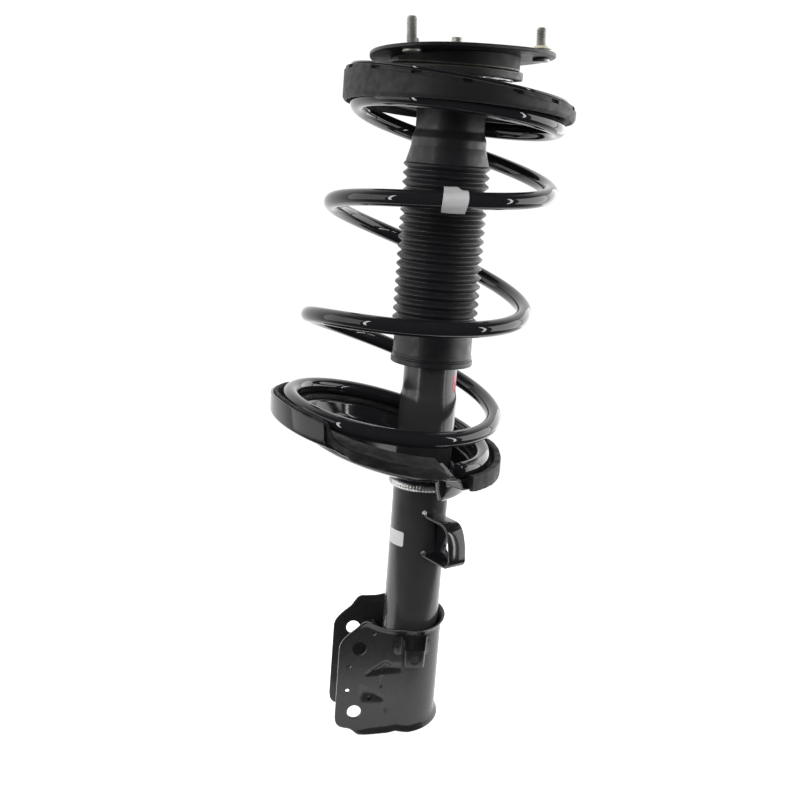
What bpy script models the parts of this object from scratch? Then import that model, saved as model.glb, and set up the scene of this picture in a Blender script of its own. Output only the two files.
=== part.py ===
"""Front suspension strut: damper, coil spring, top mount and knuckle bracket.

Metres, +Z up along the damper rod. The knuckle ears point to -X, and the hose bracket faces -Y.
Heights in this file count from the knuckle bracket's lower edge. The finished model is lowered
by TUBE_END, so that its origin is the centre of the tube's bottom end.
"""
import math

import bmesh
import bpy
from mathutils import Matrix, Vector

GAP = 0.0003                     # clearance between touching pieces

# Damper tube and its inside
TUBE_R = 0.0240
TUBE_END = 0.0120
TUBE_WALL = 0.0016
NECK_R = 0.0225                  # the tube is necked in above NECK_Z
NECK_Z = 0.3080
TUBE_TOP = 0.3485
ROD_R = 0.0110
THREAD_R = 0.0069
ROD_TOP = 0.5960
SHOULDER_Z = 0.5559              # where the rod steps down to its thread
SPIGOT_R = 0.0060                # rod end that carries the piston
PRESSURE_R = 0.0167
PRESSURE_BORE = 0.0152
GUIDE_Z = 0.3295
PISTON_Z = (0.2550, 0.2762)

# Coil spring: (turn, height of the wire's centre) without the lean of the coil
WIRE_R = 0.0067
COIL_START = 0.855
COIL_END = 5.28
COIL_RISE = ((0.855, 0.2660), (1.5, 0.2825), (1.75, 0.2885), (2.0, 0.3035), (2.5, 0.3530),
             (2.75, 0.3720), (3.0, 0.3945), (3.5, 0.4495), (4.0, 0.4920), (4.55, 0.5342),
             (4.75, 0.5352), (5.3, 0.5352))
COIL_RADIUS = ((0.855, 0.0835), (1.55, 0.0835), (3.0, 0.0865), (3.9, 0.0855), (4.6, 0.0810),
               (5.3, 0.0810))
COIL_X = ((0.855, -0.0330), (1.55, -0.0330), (2.0, -0.0265), (3.6, -0.0045), (4.6, 0.0056),
          (5.3, 0.0056))
COIL_Y = ((0.855, 0.0060), (1.55, 0.0060), (3.6, 0.0005), (4.6, -0.0012), (5.3, -0.0012))
COIL_LEAN_X = ((0.855, -0.160), (1.55, -0.160), (4.0, -0.115), (4.55, -0.091), (5.3, -0.091))
COIL_LEAN_Y = ((0.855, 0.075), (1.55, 0.075), (2.5, 0.0), (4.0, 0.0), (4.55, -0.080),
               (5.3, -0.080))

# Lower spring seat
SEAT_CENTRE = Vector((-0.0330, 0.0060))
SEAT_R = 0.1000
SEAT_BARE_R = 0.0960             # the seat's edge where it has no wall
SEAT_SHEET = 0.0023
SEAT_HUB_Z = 0.2285              # lower end of the seat's hub
SEAT_PAD = 0.0040
SEAT_STEP_DEG = (300.0, 305.0)   # where the seat's ramp falls back to its start
PAD_DEG = (308.0, 653.0)
PAD_DROOP = 0.80                 # share of the front edge's droop that the pad follows
WALL_DEG = (27.0, 231.0)         # the seat's outer edge is turned up between these angles
WALL_RISE = ((0.0, 0.0100), (60.0, 0.0095), (120.0, 0.0105), (160.0, 0.0120), (180.0, 0.0138),
             (200.0, 0.0165), (215.0, 0.0168), (226.0, 0.0165), (231.0, 0.0155), (236.0, 0.0060),
             (245.0, 0.0042), (290.0, 0.0045), (305.0, 0.0085), (360.0, 0.0100))
EDGE_DROOP = ((233.0, 0.0), (241.0, 0.0034), (270.0, 0.0065), (300.0, 0.0085), (305.0, 0.0))

# Upper spring seat and its pad
TOP_CENTRE = Vector((0.0056, -0.0012))
TOP_PAD_R = 0.0945
TOP_PAD_BORE = 0.0745
TOP_PAD_Z = 0.5580
TOP_PAD_SLOPE = (-0.113, -0.025)
LIP_Z = 0.5375
LIP_SLOPE = (-0.037, -0.070)
SEAT_PLATE_Z = 0.5612

# Top mount
PLATE_Z = 0.5810
PLATE_SLOPE = (0.057, -0.080)
PLATE_T = 0.0032
PLATE_R = 0.0745
PLATE_LOBE = 0.0055
STUD_RING_R = 0.0680
STUD_R = 0.0040
STUD_DEG = (-11.0, 109.0, 229.0)
STUD_LENGTH = 0.0210
SHELL_R = 0.0520

# Knuckle bracket
EAR_Y = 0.0255
SHEET = 0.0030
BARREL_BORE = TUBE_R + GAP
EAR_TIP_X = -0.0645
BOLT_HOLES = ((-0.0470, 0.0812), (-0.0480, 0.0224))
BOLT_HOLE_R = 0.0062
FAR_EAR_RISE = 0.0110            # how much higher the bracket's edges are on its +Y side
SMALL_HOLES = ((-0.0353, 0.0955), (-0.0551, 0.0648), (-0.0551, 0.0422), (-0.0355, 0.0351))
SMALL_HOLE_R = 0.0019

# Small brackets
HOSE_X = -0.0008
HOSE_FACE_Y = -0.0395
HOSE_HOLE_Z = 0.0775
HOSE_HOLE_R = 0.0037
LINK_DEG = -62.0
LINK_START = (-0.0021, -0.0241)
LINK_DEPTH = 0.0165
LINK_OUTLINE = ((-0.020, 0.1685), (0.0370, 0.1665), (0.0425, 0.1710), (0.0405, 0.1880),
                (0.0360, 0.1990), (0.0300, 0.2035), (-0.020, 0.2045))
LINK_HOLE = (0.0225, 0.1785)
LINK_HOLE_R = 0.0057


def clear_scene():
    for obj in list(bpy.data.objects):
        bpy.data.objects.remove(obj, do_unlink=True)


def material(name, colour, metallic, roughness):
    mat = bpy.data.materials.new(name)
    mat.use_nodes = True
    shader = mat.node_tree.nodes["Principled BSDF"]
    shader.inputs["Base Color"].default_value = (*colour, 1.0)
    shader.inputs["Metallic"].default_value = metallic
    shader.inputs["Roughness"].default_value = roughness
    return mat


def make_object(name, bm, mat, smooth_deg=35.0):
    bmesh.ops.recalc_face_normals(bm, faces=bm.faces[:])
    if bm.calc_volume(signed=True) < 0.0:
        bmesh.ops.reverse_faces(bm, faces=bm.faces[:])
    mesh = bpy.data.meshes.new(name)
    bm.to_mesh(mesh)
    bm.free()
    mesh.materials.append(mat)
    mesh.shade_smooth()
    mesh.set_sharp_from_angle(angle=math.radians(smooth_deg))
    obj = bpy.data.objects.new(name, mesh)
    bpy.context.scene.collection.objects.link(obj)
    return obj


def place_origin(obj, point):
    """Moves the object's origin to point and leaves its shape where it is."""
    obj.data.transform(Matrix.Translation(-Vector(point)))
    obj.location = point


def smooth_value(points, at):
    """Monotone cubic through (position, value) pairs."""
    xs = [p[0] for p in points]
    ys = [p[1] for p in points]
    if at <= xs[0]:
        return ys[0]
    if at >= xs[-1]:
        return ys[-1]
    slopes = [(ys[i + 1] - ys[i]) / (xs[i + 1] - xs[i]) for i in range(len(xs) - 1)]
    tangents = [slopes[0]]
    for before, after in zip(slopes, slopes[1:]):
        same_way = before * after > 0.0
        tangents.append(2.0 * before * after / (before + after) if same_way else 0.0)
    tangents.append(slopes[-1])
    i = max(k for k in range(len(xs) - 1) if xs[k] <= at)
    width = xs[i + 1] - xs[i]
    u = (at - xs[i]) / width
    return (ys[i] * (1 + 2 * u) * (1 - u) ** 2 + tangents[i] * width * u * (1 - u) ** 2
            + ys[i + 1] * u * u * (3 - 2 * u) + tangents[i + 1] * width * u * u * (u - 1))


def polar(centre, radius, degrees, z):
    turn = math.radians(degrees)
    return Vector((centre[0] + radius * math.cos(turn), centre[1] + radius * math.sin(turn), z))


def swept_solid(name, loops, closed, mat, smooth_deg=35.0):
    """Joins equal closed loops of points, end to end in a ring or with a cap at each end."""
    bm = bmesh.new()
    rings = [[bm.verts.new(p) for p in loop] for loop in loops]
    count = len(rings[0])
    pairs = list(zip(rings, rings[1:]))
    if closed:
        pairs.append((rings[-1], rings[0]))
    for a, b in pairs:
        for i in range(count):
            j = (i + 1) % count
            bm.faces.new((a[i], a[j], b[j], b[i]))
    if not closed:
        bm.faces.new(rings[0])
        bm.faces.new(rings[-1])
    return make_object(name, bm, mat, smooth_deg)


def turned_ring(name, profile, mat, segments=24, centre=(0.0, 0.0), smooth_deg=35.0):
    """A closed (radius, z) profile turned round a vertical axis."""
    loops = []
    for k in range(segments):
        degrees = 360.0 * k / segments
        loops.append([polar(centre, r, degrees, z) for r, z in profile])
    return swept_solid(name, loops, True, mat, smooth_deg)


def turned_solid(name, profile, mat, segments=24, centre=(0.0, 0.0)):
    """A (radius, z) outline from axis to axis, bottom first, turned round a vertical axis."""
    bm = bmesh.new()
    low = bm.verts.new((centre[0], centre[1], profile[0][1]))
    high = bm.verts.new((centre[0], centre[1], profile[-1][1]))
    rings = []
    for r, z in profile[1:-1]:
        steps = [360.0 * k / segments for k in range(segments)]
        rings.append([bm.verts.new(polar(centre, r, d, z)) for d in steps])
    for k in range(segments):
        n = (k + 1) % segments
        bm.faces.new((low, rings[0][n], rings[0][k]))
        bm.faces.new((high, rings[-1][k], rings[-1][n]))
        for a, b in zip(rings, rings[1:]):
            bm.faces.new((a[k], a[n], b[n], b[k]))
    return make_object(name, bm, mat)


def bent_sheet(name, columns, thickness, mat, lip=0.0):
    """A sheet that stands on a bent path in plan.

    Each column is (x, y, low z, high z, flare): flare pushes the two edges out to the path's
    right-hand side, over the height lip.
    """
    spine = [Vector(c[:2]) for c in columns]
    loops = []
    for i, (x, y, low, high, flare) in enumerate(columns):
        ahead = (spine[min(i + 1, len(spine) - 1)] - spine[i])
        behind = (spine[i] - spine[max(i - 1, 0)])
        ahead = ahead.normalized() if ahead.length else behind.normalized()
        behind = behind.normalized() if behind.length else ahead
        along = (ahead + behind).normalized()
        out = Vector((along.y, -along.x)) / max(along.dot(ahead), 0.5)
        rows = [(low, flare), (low + lip, 0.0), (high - lip, 0.0), (high, flare)]
        if lip == 0.0:
            rows = [rows[0], rows[3]]
        outer = [spine[i] + out * (thickness / 2 + push) for _, push in rows]
        inner = [spine[i] + out * (-thickness / 2 + push) for _, push in rows]
        loop = [Vector((p.x, p.y, row[0])) for p, row in zip(outer, rows)]
        back = [Vector((p.x, p.y, row[0])) for p, row in zip(inner, rows)]
        loops.append(loop + back[::-1])
    return swept_solid(name, loops, False, mat)


def boolean(obj, operation, tool):
    modifier = obj.modifiers.new(operation.lower(), "BOOLEAN")
    modifier.operation = operation
    modifier.solver = "EXACT"
    modifier.object = tool
    tool.hide_render = True
    tool.display_type = "WIRE"


def drill(obj, centre, direction, radius, length, sides=16):
    """Cuts a round hole through obj, centred on centre, along direction."""
    bm = bmesh.new()
    bmesh.ops.create_cone(bm, cap_ends=True, segments=sides, radius1=radius, radius2=radius,
                          depth=length)
    turn = Vector(direction).to_track_quat("Z", "Y").to_matrix().to_4x4()
    bm.transform(Matrix.Translation(Vector(centre)) @ turn)
    tool = make_object(obj.name + "_drill", bm, obj.data.materials[0])
    boolean(obj, "DIFFERENCE", tool)


def hex_nut(name, bore, corner_r, low, high, mat):
    chamfer = 0.0008
    nut = turned_ring(name, [
        (bore, low), (corner_r - 0.0011, low), (corner_r, low + chamfer),
        (corner_r, high - chamfer), (corner_r - 0.0011, high), (bore, high)], mat, 24)
    flats = turned_solid(name + "_flats", [
        (0.0, low - 0.01), (corner_r, low - 0.01), (corner_r, high + 0.01), (0.0, high + 0.01)],
        mat, 6)
    boolean(nut, "INTERSECT", flats)


# ---------------------------------------------------------------- damper

def make_damper(mats):
    bore = TUBE_R - TUBE_WALL
    neck_bore = NECK_R - 0.0018
    turned_ring("strut_tube", [
        (bore, TUBE_END), (TUBE_R, TUBE_END), (TUBE_R, NECK_Z - 0.006), (NECK_R, NECK_Z),
        (NECK_R, TUBE_TOP - 0.0010), (NECK_R - 0.0010, TUBE_TOP), (0.0165, TUBE_TOP),
        (0.0165, TUBE_TOP - 0.0017), (neck_bore, TUBE_TOP - 0.0017), (neck_bore, NECK_Z),
        (bore, NECK_Z - 0.006)], mats["tube"], 32)
    turned_solid("tube_base_cap", [
        (0.0, TUBE_END), (0.0190, TUBE_END), (bore - GAP, TUBE_END + 0.0030),
        (bore - GAP, TUBE_END + 0.0055), (0.0, TUBE_END + 0.0055)], mats["steel"], 24)
    turned_ring("pressure_tube", [
        (PRESSURE_BORE, TUBE_END + 0.0145), (PRESSURE_R, TUBE_END + 0.0145),
        (PRESSURE_R, GUIDE_Z - GAP),
        (PRESSURE_BORE, GUIDE_Z - GAP)], mats["steel"], 20)
    turned_solid("base_valve", [
        (0.0, TUBE_END + 0.0058), (0.0175, TUBE_END + 0.0058), (0.0175, TUBE_END + 0.0142),
        (PRESSURE_BORE - GAP, TUBE_END + 0.0142), (PRESSURE_BORE - GAP, TUBE_END + 0.0210),
        (0.0, TUBE_END + 0.0210)], mats["steel"], 20)
    turned_ring("rod_guide", [
        (ROD_R + GAP, GUIDE_Z), (0.0204, GUIDE_Z), (0.0204, 0.3405), (ROD_R + GAP, 0.3405)],
        mats["alloy"], 20)
    turned_ring("oil_seal", [
        (ROD_R + GAP, 0.3408), (0.0204, 0.3408), (0.0204, 0.3465), (0.0150, 0.3465),
        (0.0140, 0.3478), (ROD_R + GAP, 0.3478)], mats["rubber"], 20)
    turned_ring("tube_top_cap", [
        (0.0118, TUBE_TOP + GAP), (NECK_R + GAP, TUBE_TOP + GAP), (NECK_R + GAP, 0.3360),
        (0.0240, 0.3360), (0.0240, 0.3490), (0.0228, 0.3505), (0.0118, 0.3505)],
        mats["black_steel"], 24)
    rod = turned_solid("piston_rod", [
        (0.0, 0.2440), (SPIGOT_R, 0.2440), (SPIGOT_R, PISTON_Z[1] + GAP),
        (ROD_R, PISTON_Z[1] + GAP), (ROD_R, SHOULDER_Z), (THREAD_R, SHOULDER_Z),
        (THREAD_R, 0.5875), (0.0060, 0.5885), (0.0044, 0.5885), (0.0044, ROD_TOP - 0.0005),
        (0.0039, ROD_TOP), (0.0, ROD_TOP)], mats["chrome"], 20)
    drill(rod, (0.0, 0.0, ROD_TOP), (0.0, 0.0, 1.0), 0.0026, 0.012, 6)
    low, high = PISTON_Z
    turned_ring("piston", [
        (SPIGOT_R + GAP, low), (0.0149, low), (0.0149, low + 0.0050), (0.0133, low + 0.0050),
        (0.0133, high - 0.0050), (0.0149, high - 0.0050), (0.0149, high),
        (SPIGOT_R + GAP, high)], mats["steel"], 20)
    turned_ring("piston_band", [
        (0.0136, low + 0.0053), (0.0149, low + 0.0053), (0.0149, high - 0.0053),
        (0.0136, high - 0.0053)], mats["band"], 20)
    hex_nut("piston_nut", SPIGOT_R + GAP, 0.0100, 0.2465, low - GAP, mats["steel"])
    turned_ring("rebound_stop", [
        (ROD_R + GAP, high + 0.0006), (0.0142, high + 0.0006), (0.0142, GUIDE_Z - 0.0006),
        (ROD_R + GAP, GUIDE_Z - 0.0006)], mats["rubber"], 16)


# ---------------------------------------------------------------- spring and its seats

def coil_point(turn):
    radius = smooth_value(COIL_RADIUS, turn)
    dx = radius * math.cos(2.0 * math.pi * turn)
    dy = radius * math.sin(2.0 * math.pi * turn)
    z = smooth_value(COIL_RISE, turn)
    z += smooth_value(COIL_LEAN_X, turn) * dx + smooth_value(COIL_LEAN_Y, turn) * dy
    return Vector((smooth_value(COIL_X, turn) + dx, smooth_value(COIL_Y, turn) + dy, z))


def make_spring(mats, per_turn=20, sides=8):
    count = round((COIL_END - COIL_START) * per_turn)
    loops = []
    for k in range(count + 1):
        turn = COIL_START + (COIL_END - COIL_START) * k / count
        here = coil_point(turn)
        along = (coil_point(turn + 0.002) - coil_point(turn - 0.002)).normalized()
        if k == 0:
            along = (coil_point(turn + 0.004) - here).normalized()
        side = along.cross(Vector((0.0, 0.0, 1.0))).normalized()
        over = side.cross(along)
        ring = []
        for s in range(sides):
            a = 2.0 * math.pi * (s + 0.5) / sides
            ring.append(here + WIRE_R * (math.cos(a) * side + math.sin(a) * over))
        loops.append(ring)
    return swept_solid("coil_spring", loops, False, mats["gloss"], 50.0)


def seat_height(degrees):
    """Height of the lower seat's channel under the wire, at an angle round the seat."""
    wrapped = degrees % 360.0
    start, end = SEAT_STEP_DEG
    turn = wrapped / 360.0 + (1.0 if wrapped < start else 0.0)
    rise = smooth_value(COIL_RISE, min(turn, 1.5))
    if start <= wrapped < end:
        share = (wrapped - start) / (end - start)
        rise = COIL_RISE[1][1] * (1.0 - share) + COIL_RISE[0][1] * share
    radius = COIL_RADIUS[0][1]
    lean = COIL_LEAN_X[0][1] * math.cos(math.radians(wrapped))
    lean += COIL_LEAN_Y[0][1] * math.sin(math.radians(wrapped))
    return rise + radius * lean - WIRE_R - SEAT_PAD - 0.0007


def seat_angles():
    angles = [9.0 * k for k in range(40)]
    extra = {SEAT_STEP_DEG[0], SEAT_STEP_DEG[1], WALL_DEG[0] - 3.0, WALL_DEG[1] + 2.0,
             WALL_DEG[1] + 6.0}
    return sorted(set(angles) - {297.0, 306.0, 234.0} | {WALL_DEG[1]} | extra)


def has_wall(degrees):
    return WALL_DEG[0] <= degrees % 360.0 <= WALL_DEG[1]


def edge_droop(degrees):
    """How far the seat's bare front edge hangs below its channel."""
    on_front = EDGE_DROOP[0][0] < degrees < EDGE_DROOP[-1][0]
    return smooth_value(EDGE_DROOP, degrees) if on_front else 0.0


def make_lower_seat(mats):
    loops = []
    for degrees in seat_angles():
        s = seat_height(degrees)
        near_wall = WALL_DEG[0] - 4.0 <= degrees <= WALL_DEG[1] + 2.0
        edge_r = SEAT_R if near_wall else SEAT_BARE_R
        rise = smooth_value(WALL_RISE, degrees) if has_wall(degrees) else 0.0001
        edge = s - edge_droop(degrees)
        hub = [(BARREL_BORE, SEAT_HUB_Z), (BARREL_BORE, 0.2380)]
        dish = [(0.0660, s - 0.0170), (0.0705, s - 0.0140), (0.0735, s - 0.0015), (0.0750, s),
                (edge_r - SEAT_SHEET, edge), (edge_r - SEAT_SHEET, edge + rise),
                (edge_r, edge + rise), (edge_r, edge - 0.0010), (edge_r - 0.0014, edge - SEAT_SHEET),
                (0.0768, s - SEAT_SHEET), (0.0756, s - 0.0036), (0.0728, s - 0.0160),
                (0.0662, s - 0.0195)]
        under = [(BARREL_BORE + SEAT_SHEET, 0.2345), (BARREL_BORE + SEAT_SHEET, SEAT_HUB_Z)]
        loop = [polar((0.0, 0.0), r, degrees, z) for r, z in hub]
        loop += [polar(SEAT_CENTRE, r, degrees, z) for r, z in dish]
        loop += [polar((0.0, 0.0), r, degrees, z) for r, z in under]
        loops.append(loop)
    swept_solid("lower_spring_seat", loops, True, mats["gloss"])
    loops = []
    steps = 46
    wall_start = 360.0 + WALL_DEG[0] - 12.0
    wall_end = 360.0 + WALL_DEG[1] + 10.0
    for k in range(steps + 1):
        degrees = PAD_DEG[0] + (PAD_DEG[1] - PAD_DEG[0]) * k / steps
        low = seat_height(degrees) + GAP
        top = low + SEAT_PAD
        wraps = degrees < wall_start or degrees > wall_end
        outer_r = SEAT_R if wraps else SEAT_R - SEAT_SHEET - 0.0009
        edge = low - PAD_DROOP * edge_droop(degrees % 360.0)
        lip = edge + smooth_value(WALL_RISE, degrees % 360.0) + 0.0015
        foot = edge - 0.0030 if wraps else edge + 0.0001
        profile = [(0.0755, low), (0.0937, edge), (SEAT_BARE_R + 0.0006, edge),
                   (SEAT_BARE_R + 0.0007, foot),
                   (outer_r, foot), (outer_r, lip), (0.0942, lip),
                   (0.0925, edge + SEAT_PAD + 0.0010),
                   (0.0755, top)]
        loops.append([polar(SEAT_CENTRE, r, degrees, z) for r, z in profile])
    swept_solid("lower_seat_pad", loops, False, mats["pad"])


def leaning_height(base, slopes, degrees, radius):
    across = radius * math.cos(math.radians(degrees))
    along = radius * math.sin(math.radians(degrees))
    return base + slopes[0] * across + slopes[1] * along


def top_pad_height(degrees, radius):
    return leaning_height(TOP_PAD_Z, TOP_PAD_SLOPE, degrees, radius)


def make_upper_seat(mats, segments=36):
    pad_loops = []
    seat_loops = []
    groove_z = COIL_RISE[-1][1] + WIRE_R + 0.0006
    for k in range(segments):
        degrees = 360.0 * k / segments

        def groove(r):
            return leaning_height(groove_z, (COIL_LEAN_X[-1][1], COIL_LEAN_Y[-1][1]), degrees, r)

        lip = min(leaning_height(LIP_Z, LIP_SLOPE, degrees, TOP_PAD_R), groove(0.0910) - 0.0008)
        pad = [(TOP_PAD_BORE, top_pad_height(degrees, TOP_PAD_BORE)),
               (0.0915, top_pad_height(degrees, 0.0915)),
               (TOP_PAD_R, top_pad_height(degrees, TOP_PAD_R) - 0.0020),
               (TOP_PAD_R, lip + 0.0020), (0.0925, lip), (0.0912, lip),
               (0.0902, groove(0.0902)), (TOP_PAD_BORE, groove(TOP_PAD_BORE))]
        pad_loops.append([polar(TOP_CENTRE, r, degrees, z) for r, z in pad])
        flange_in = top_pad_height(degrees, 0.0738) + GAP
        flange_out = top_pad_height(degrees, 0.0895) + GAP
        inner = [(0.0257, 0.5330), (0.0237, 0.5330), (0.0237, SEAT_PLATE_Z),
                 (0.0540, SEAT_PLATE_Z)]
        outer = [(0.0730, flange_in + 0.0020), (0.0895, flange_out + 0.0020),
                 (0.0895, flange_out), (0.0740, flange_in)]
        under = [(0.0548, SEAT_PLATE_Z - 0.0020), (0.0257, SEAT_PLATE_Z - 0.0020)]
        loop = [polar((0.0, 0.0), r, degrees, z) for r, z in inner]
        loop += [polar(TOP_CENTRE, r, degrees, z) for r, z in outer]
        loop += [polar((0.0, 0.0), r, degrees, z) for r, z in under]
        seat_loops.append(loop)
    swept_solid("upper_seat_pad", pad_loops, True, mats["rubber"])
    swept_solid("upper_spring_seat", seat_loops, True, mats["gloss"])


def make_boot(mats, ridges=18):
    low, high = 0.3640, 0.4980
    pitch = (high - low) / ridges
    outer = [(0.0335, 0.3310), (0.0345, 0.3320), (0.0345, 0.3350), (0.0330, 0.3365),
             (0.0330, 0.3560)]
    for k in range(ridges):
        outer.append((0.0325, low + pitch * k))
        outer.append((0.0360, low + pitch * (k + 0.5)))
    outer += [(0.0325, high), (0.0306, 0.5005), (0.0306, 0.5160), (0.0280, 0.5230),
              (0.0280, 0.5475)]
    inner = [(0.0262, 0.5475), (0.0262, 0.5220), (0.0288, 0.5150), (0.0288, 0.5000),
             (0.0308, 0.4960), (0.0308, 0.3310)]
    turned_ring("dust_boot", outer + inner, mats["boot"], 18)


# ---------------------------------------------------------------- top mount

def plate_height(x, y):
    return PLATE_Z + PLATE_SLOPE[0] * x + PLATE_SLOPE[1] * y


def make_bearing(mats):
    turned_ring("bearing_lower_race", [
        (0.0400, SEAT_PLATE_Z + GAP), (0.0500, SEAT_PLATE_Z + GAP), (0.0500, 0.5632),
        (0.0400, 0.5632)], mats["steel"], 24)
    loops = []
    balls, per_ball = 16, 4
    for k in range(balls * per_ball):
        bulge = 0.5 - 0.5 * math.cos(2.0 * math.pi * k / per_ball)
        half_h = 0.0006 + 0.0009 * bulge
        half_w = 0.0022 + 0.0003 * bulge
        mid = 0.5651
        section = [(-half_w, -half_h / 2), (0.0, -half_h), (half_w, -half_h / 2),
                   (half_w, half_h / 2), (0.0, half_h), (-half_w, half_h / 2)]
        degrees = 360.0 * k / (balls * per_ball)
        loops.append([polar((0.0, 0.0), 0.0450 + dr, degrees, mid + dz) for dr, dz in section])
    cage = swept_solid("bearing_balls", loops, True, mats["steel"])
    place_origin(cage, (0.0, 0.0, 0.5651))
    turned_ring("bearing_upper_race", [
        (0.0400, 0.5670), (0.0525, 0.5670), (0.0525, 0.5655), (0.0550, 0.5655),
        (0.0550, 0.5710), (0.0545, 0.5718), (0.0400, 0.5718)], mats["zinc"], 32)


def make_mount(mats, segments=36):
    shell_loops = []
    rubber_loops = []
    plate_loops = []
    for k in range(segments):
        degrees = 360.0 * k / segments

        def under_plate(r):
            p = polar((0.0, 0.0), r, degrees, 0.0)
            return plate_height(p.x, p.y) - PLATE_T / 2 - GAP

        shell = [(0.0135, 0.5721), (SHELL_R - 0.0010, 0.5721), (SHELL_R, 0.5731),
                 (SHELL_R, under_plate(SHELL_R)), (SHELL_R - 0.0015, under_plate(0.0505)),
                 (SHELL_R - 0.0015, 0.5736), (0.0135, 0.5736)]
        shell_loops.append([polar((0.0, 0.0), r, degrees, z) for r, z in shell])
        rubber = [(0.0190, 0.5739), (0.0400, 0.5739), (0.0400, under_plate(0.0400)),
                  (0.0190, under_plate(0.0190))]
        rubber_loops.append([polar((0.0, 0.0), r, degrees, z) for r, z in rubber])
        lobe = PLATE_R + PLATE_LOBE * math.cos(3.0 * math.radians(degrees - STUD_DEG[0]))
        rim = polar((0.0, 0.0), lobe, degrees, 0.0)
        bore = polar((0.0, 0.0), 0.0215, degrees, 0.0)
        loop = []
        for p, up in ((bore, -1), (rim, -1), (rim, 1), (bore, 1)):
            loop.append(Vector((p.x, p.y, plate_height(p.x, p.y) + up * PLATE_T / 2)))
        plate_loops.append(loop)
    swept_solid("mount_shell", shell_loops, True, mats["matt_black"])
    swept_solid("mount_rubber", rubber_loops, True, mats["rubber"])
    plate = swept_solid("mount_plate", plate_loops, True, mats["matt_black"])
    for degrees in STUD_DEG:
        drill(plate, polar((0.0, 0.0), STUD_RING_R, degrees, PLATE_Z), (0.0, 0.0, 1.0),
              STUD_R + 0.0004, 0.03, 12)
    turned_ring("mount_core", [
        (THREAD_R + GAP, 0.5581), (0.0115, 0.5581), (0.0115, 0.5739), (0.0187, 0.5739),
        (0.0187, 0.5765), (THREAD_R + GAP, 0.5765)], mats["steel"], 20)
    turned_ring("rod_washer", [
        (THREAD_R + GAP, 0.5768), (0.0160, 0.5768), (0.0160, 0.5785), (THREAD_R + GAP, 0.5785)],
        mats["zinc"], 20)
    hex_nut("rod_nut", THREAD_R + GAP, 0.0121, 0.5788, 0.5868, mats["zinc"])
    turned_ring("bump_stop_cup", [
        (THREAD_R + GAP, SHOULDER_Z + GAP), (0.0210, SHOULDER_Z + GAP), (0.0210, 0.5400),
        (0.0225, 0.5400), (0.0225, 0.5578), (THREAD_R + GAP, 0.5578)], mats["black_steel"], 20)
    turned_ring("bump_stop", [
        (ROD_R + GAP, 0.4910), (0.0150, 0.4910), (0.0185, 0.4990), (0.0185, 0.5060),
        (0.0160, 0.5100), (0.0195, 0.5150), (0.0195, 0.5240), (0.0165, 0.5280),
        (0.0203, 0.5330), (0.0203, SHOULDER_Z), (ROD_R + GAP, SHOULDER_Z)], mats["foam"], 18)


def square_to_plate(obj, at):
    """Tilts a piece made upright on the plate so that it stands square to the plate."""
    base = Matrix.Translation((at.x, at.y, plate_height(at.x, at.y)))
    normal = Vector((-PLATE_SLOPE[0], -PLATE_SLOPE[1], 1.0))
    tilt = Vector((0.0, 0.0, 1.0)).rotation_difference(normal).to_matrix().to_4x4()
    obj.data.transform(base @ tilt @ base.inverted())


def make_studs(mats):
    for number, degrees in enumerate(STUD_DEG, start=1):
        at = polar((0.0, 0.0), STUD_RING_R, degrees, 0.0)
        top = plate_height(at.x, at.y) + PLATE_T / 2
        head = top - PLATE_T - GAP
        stud = turned_solid("mount_stud_%d" % number, [
            (0.0, head - 0.0022), (0.0060, head - 0.0022), (0.0070, head - 0.0014),
            (0.0070, head), (STUD_R, head), (STUD_R, top + STUD_LENGTH - 0.0010),
            (STUD_R - 0.0010, top + STUD_LENGTH), (0.0, top + STUD_LENGTH)],
            mats["zinc"], 16, at)
        square_to_plate(stud, at)
        if number == 1:
            retainer = turned_ring("stud_retainer", [
                (STUD_R + GAP, top + 0.0040), (0.0085, top + 0.0040), (0.0085, top + 0.0052),
                (0.0060, top + 0.0066), (STUD_R + GAP, top + 0.0066)], mats["retainer"], 16, at)
            square_to_plate(retainer, at)


# ---------------------------------------------------------------- brackets

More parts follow.
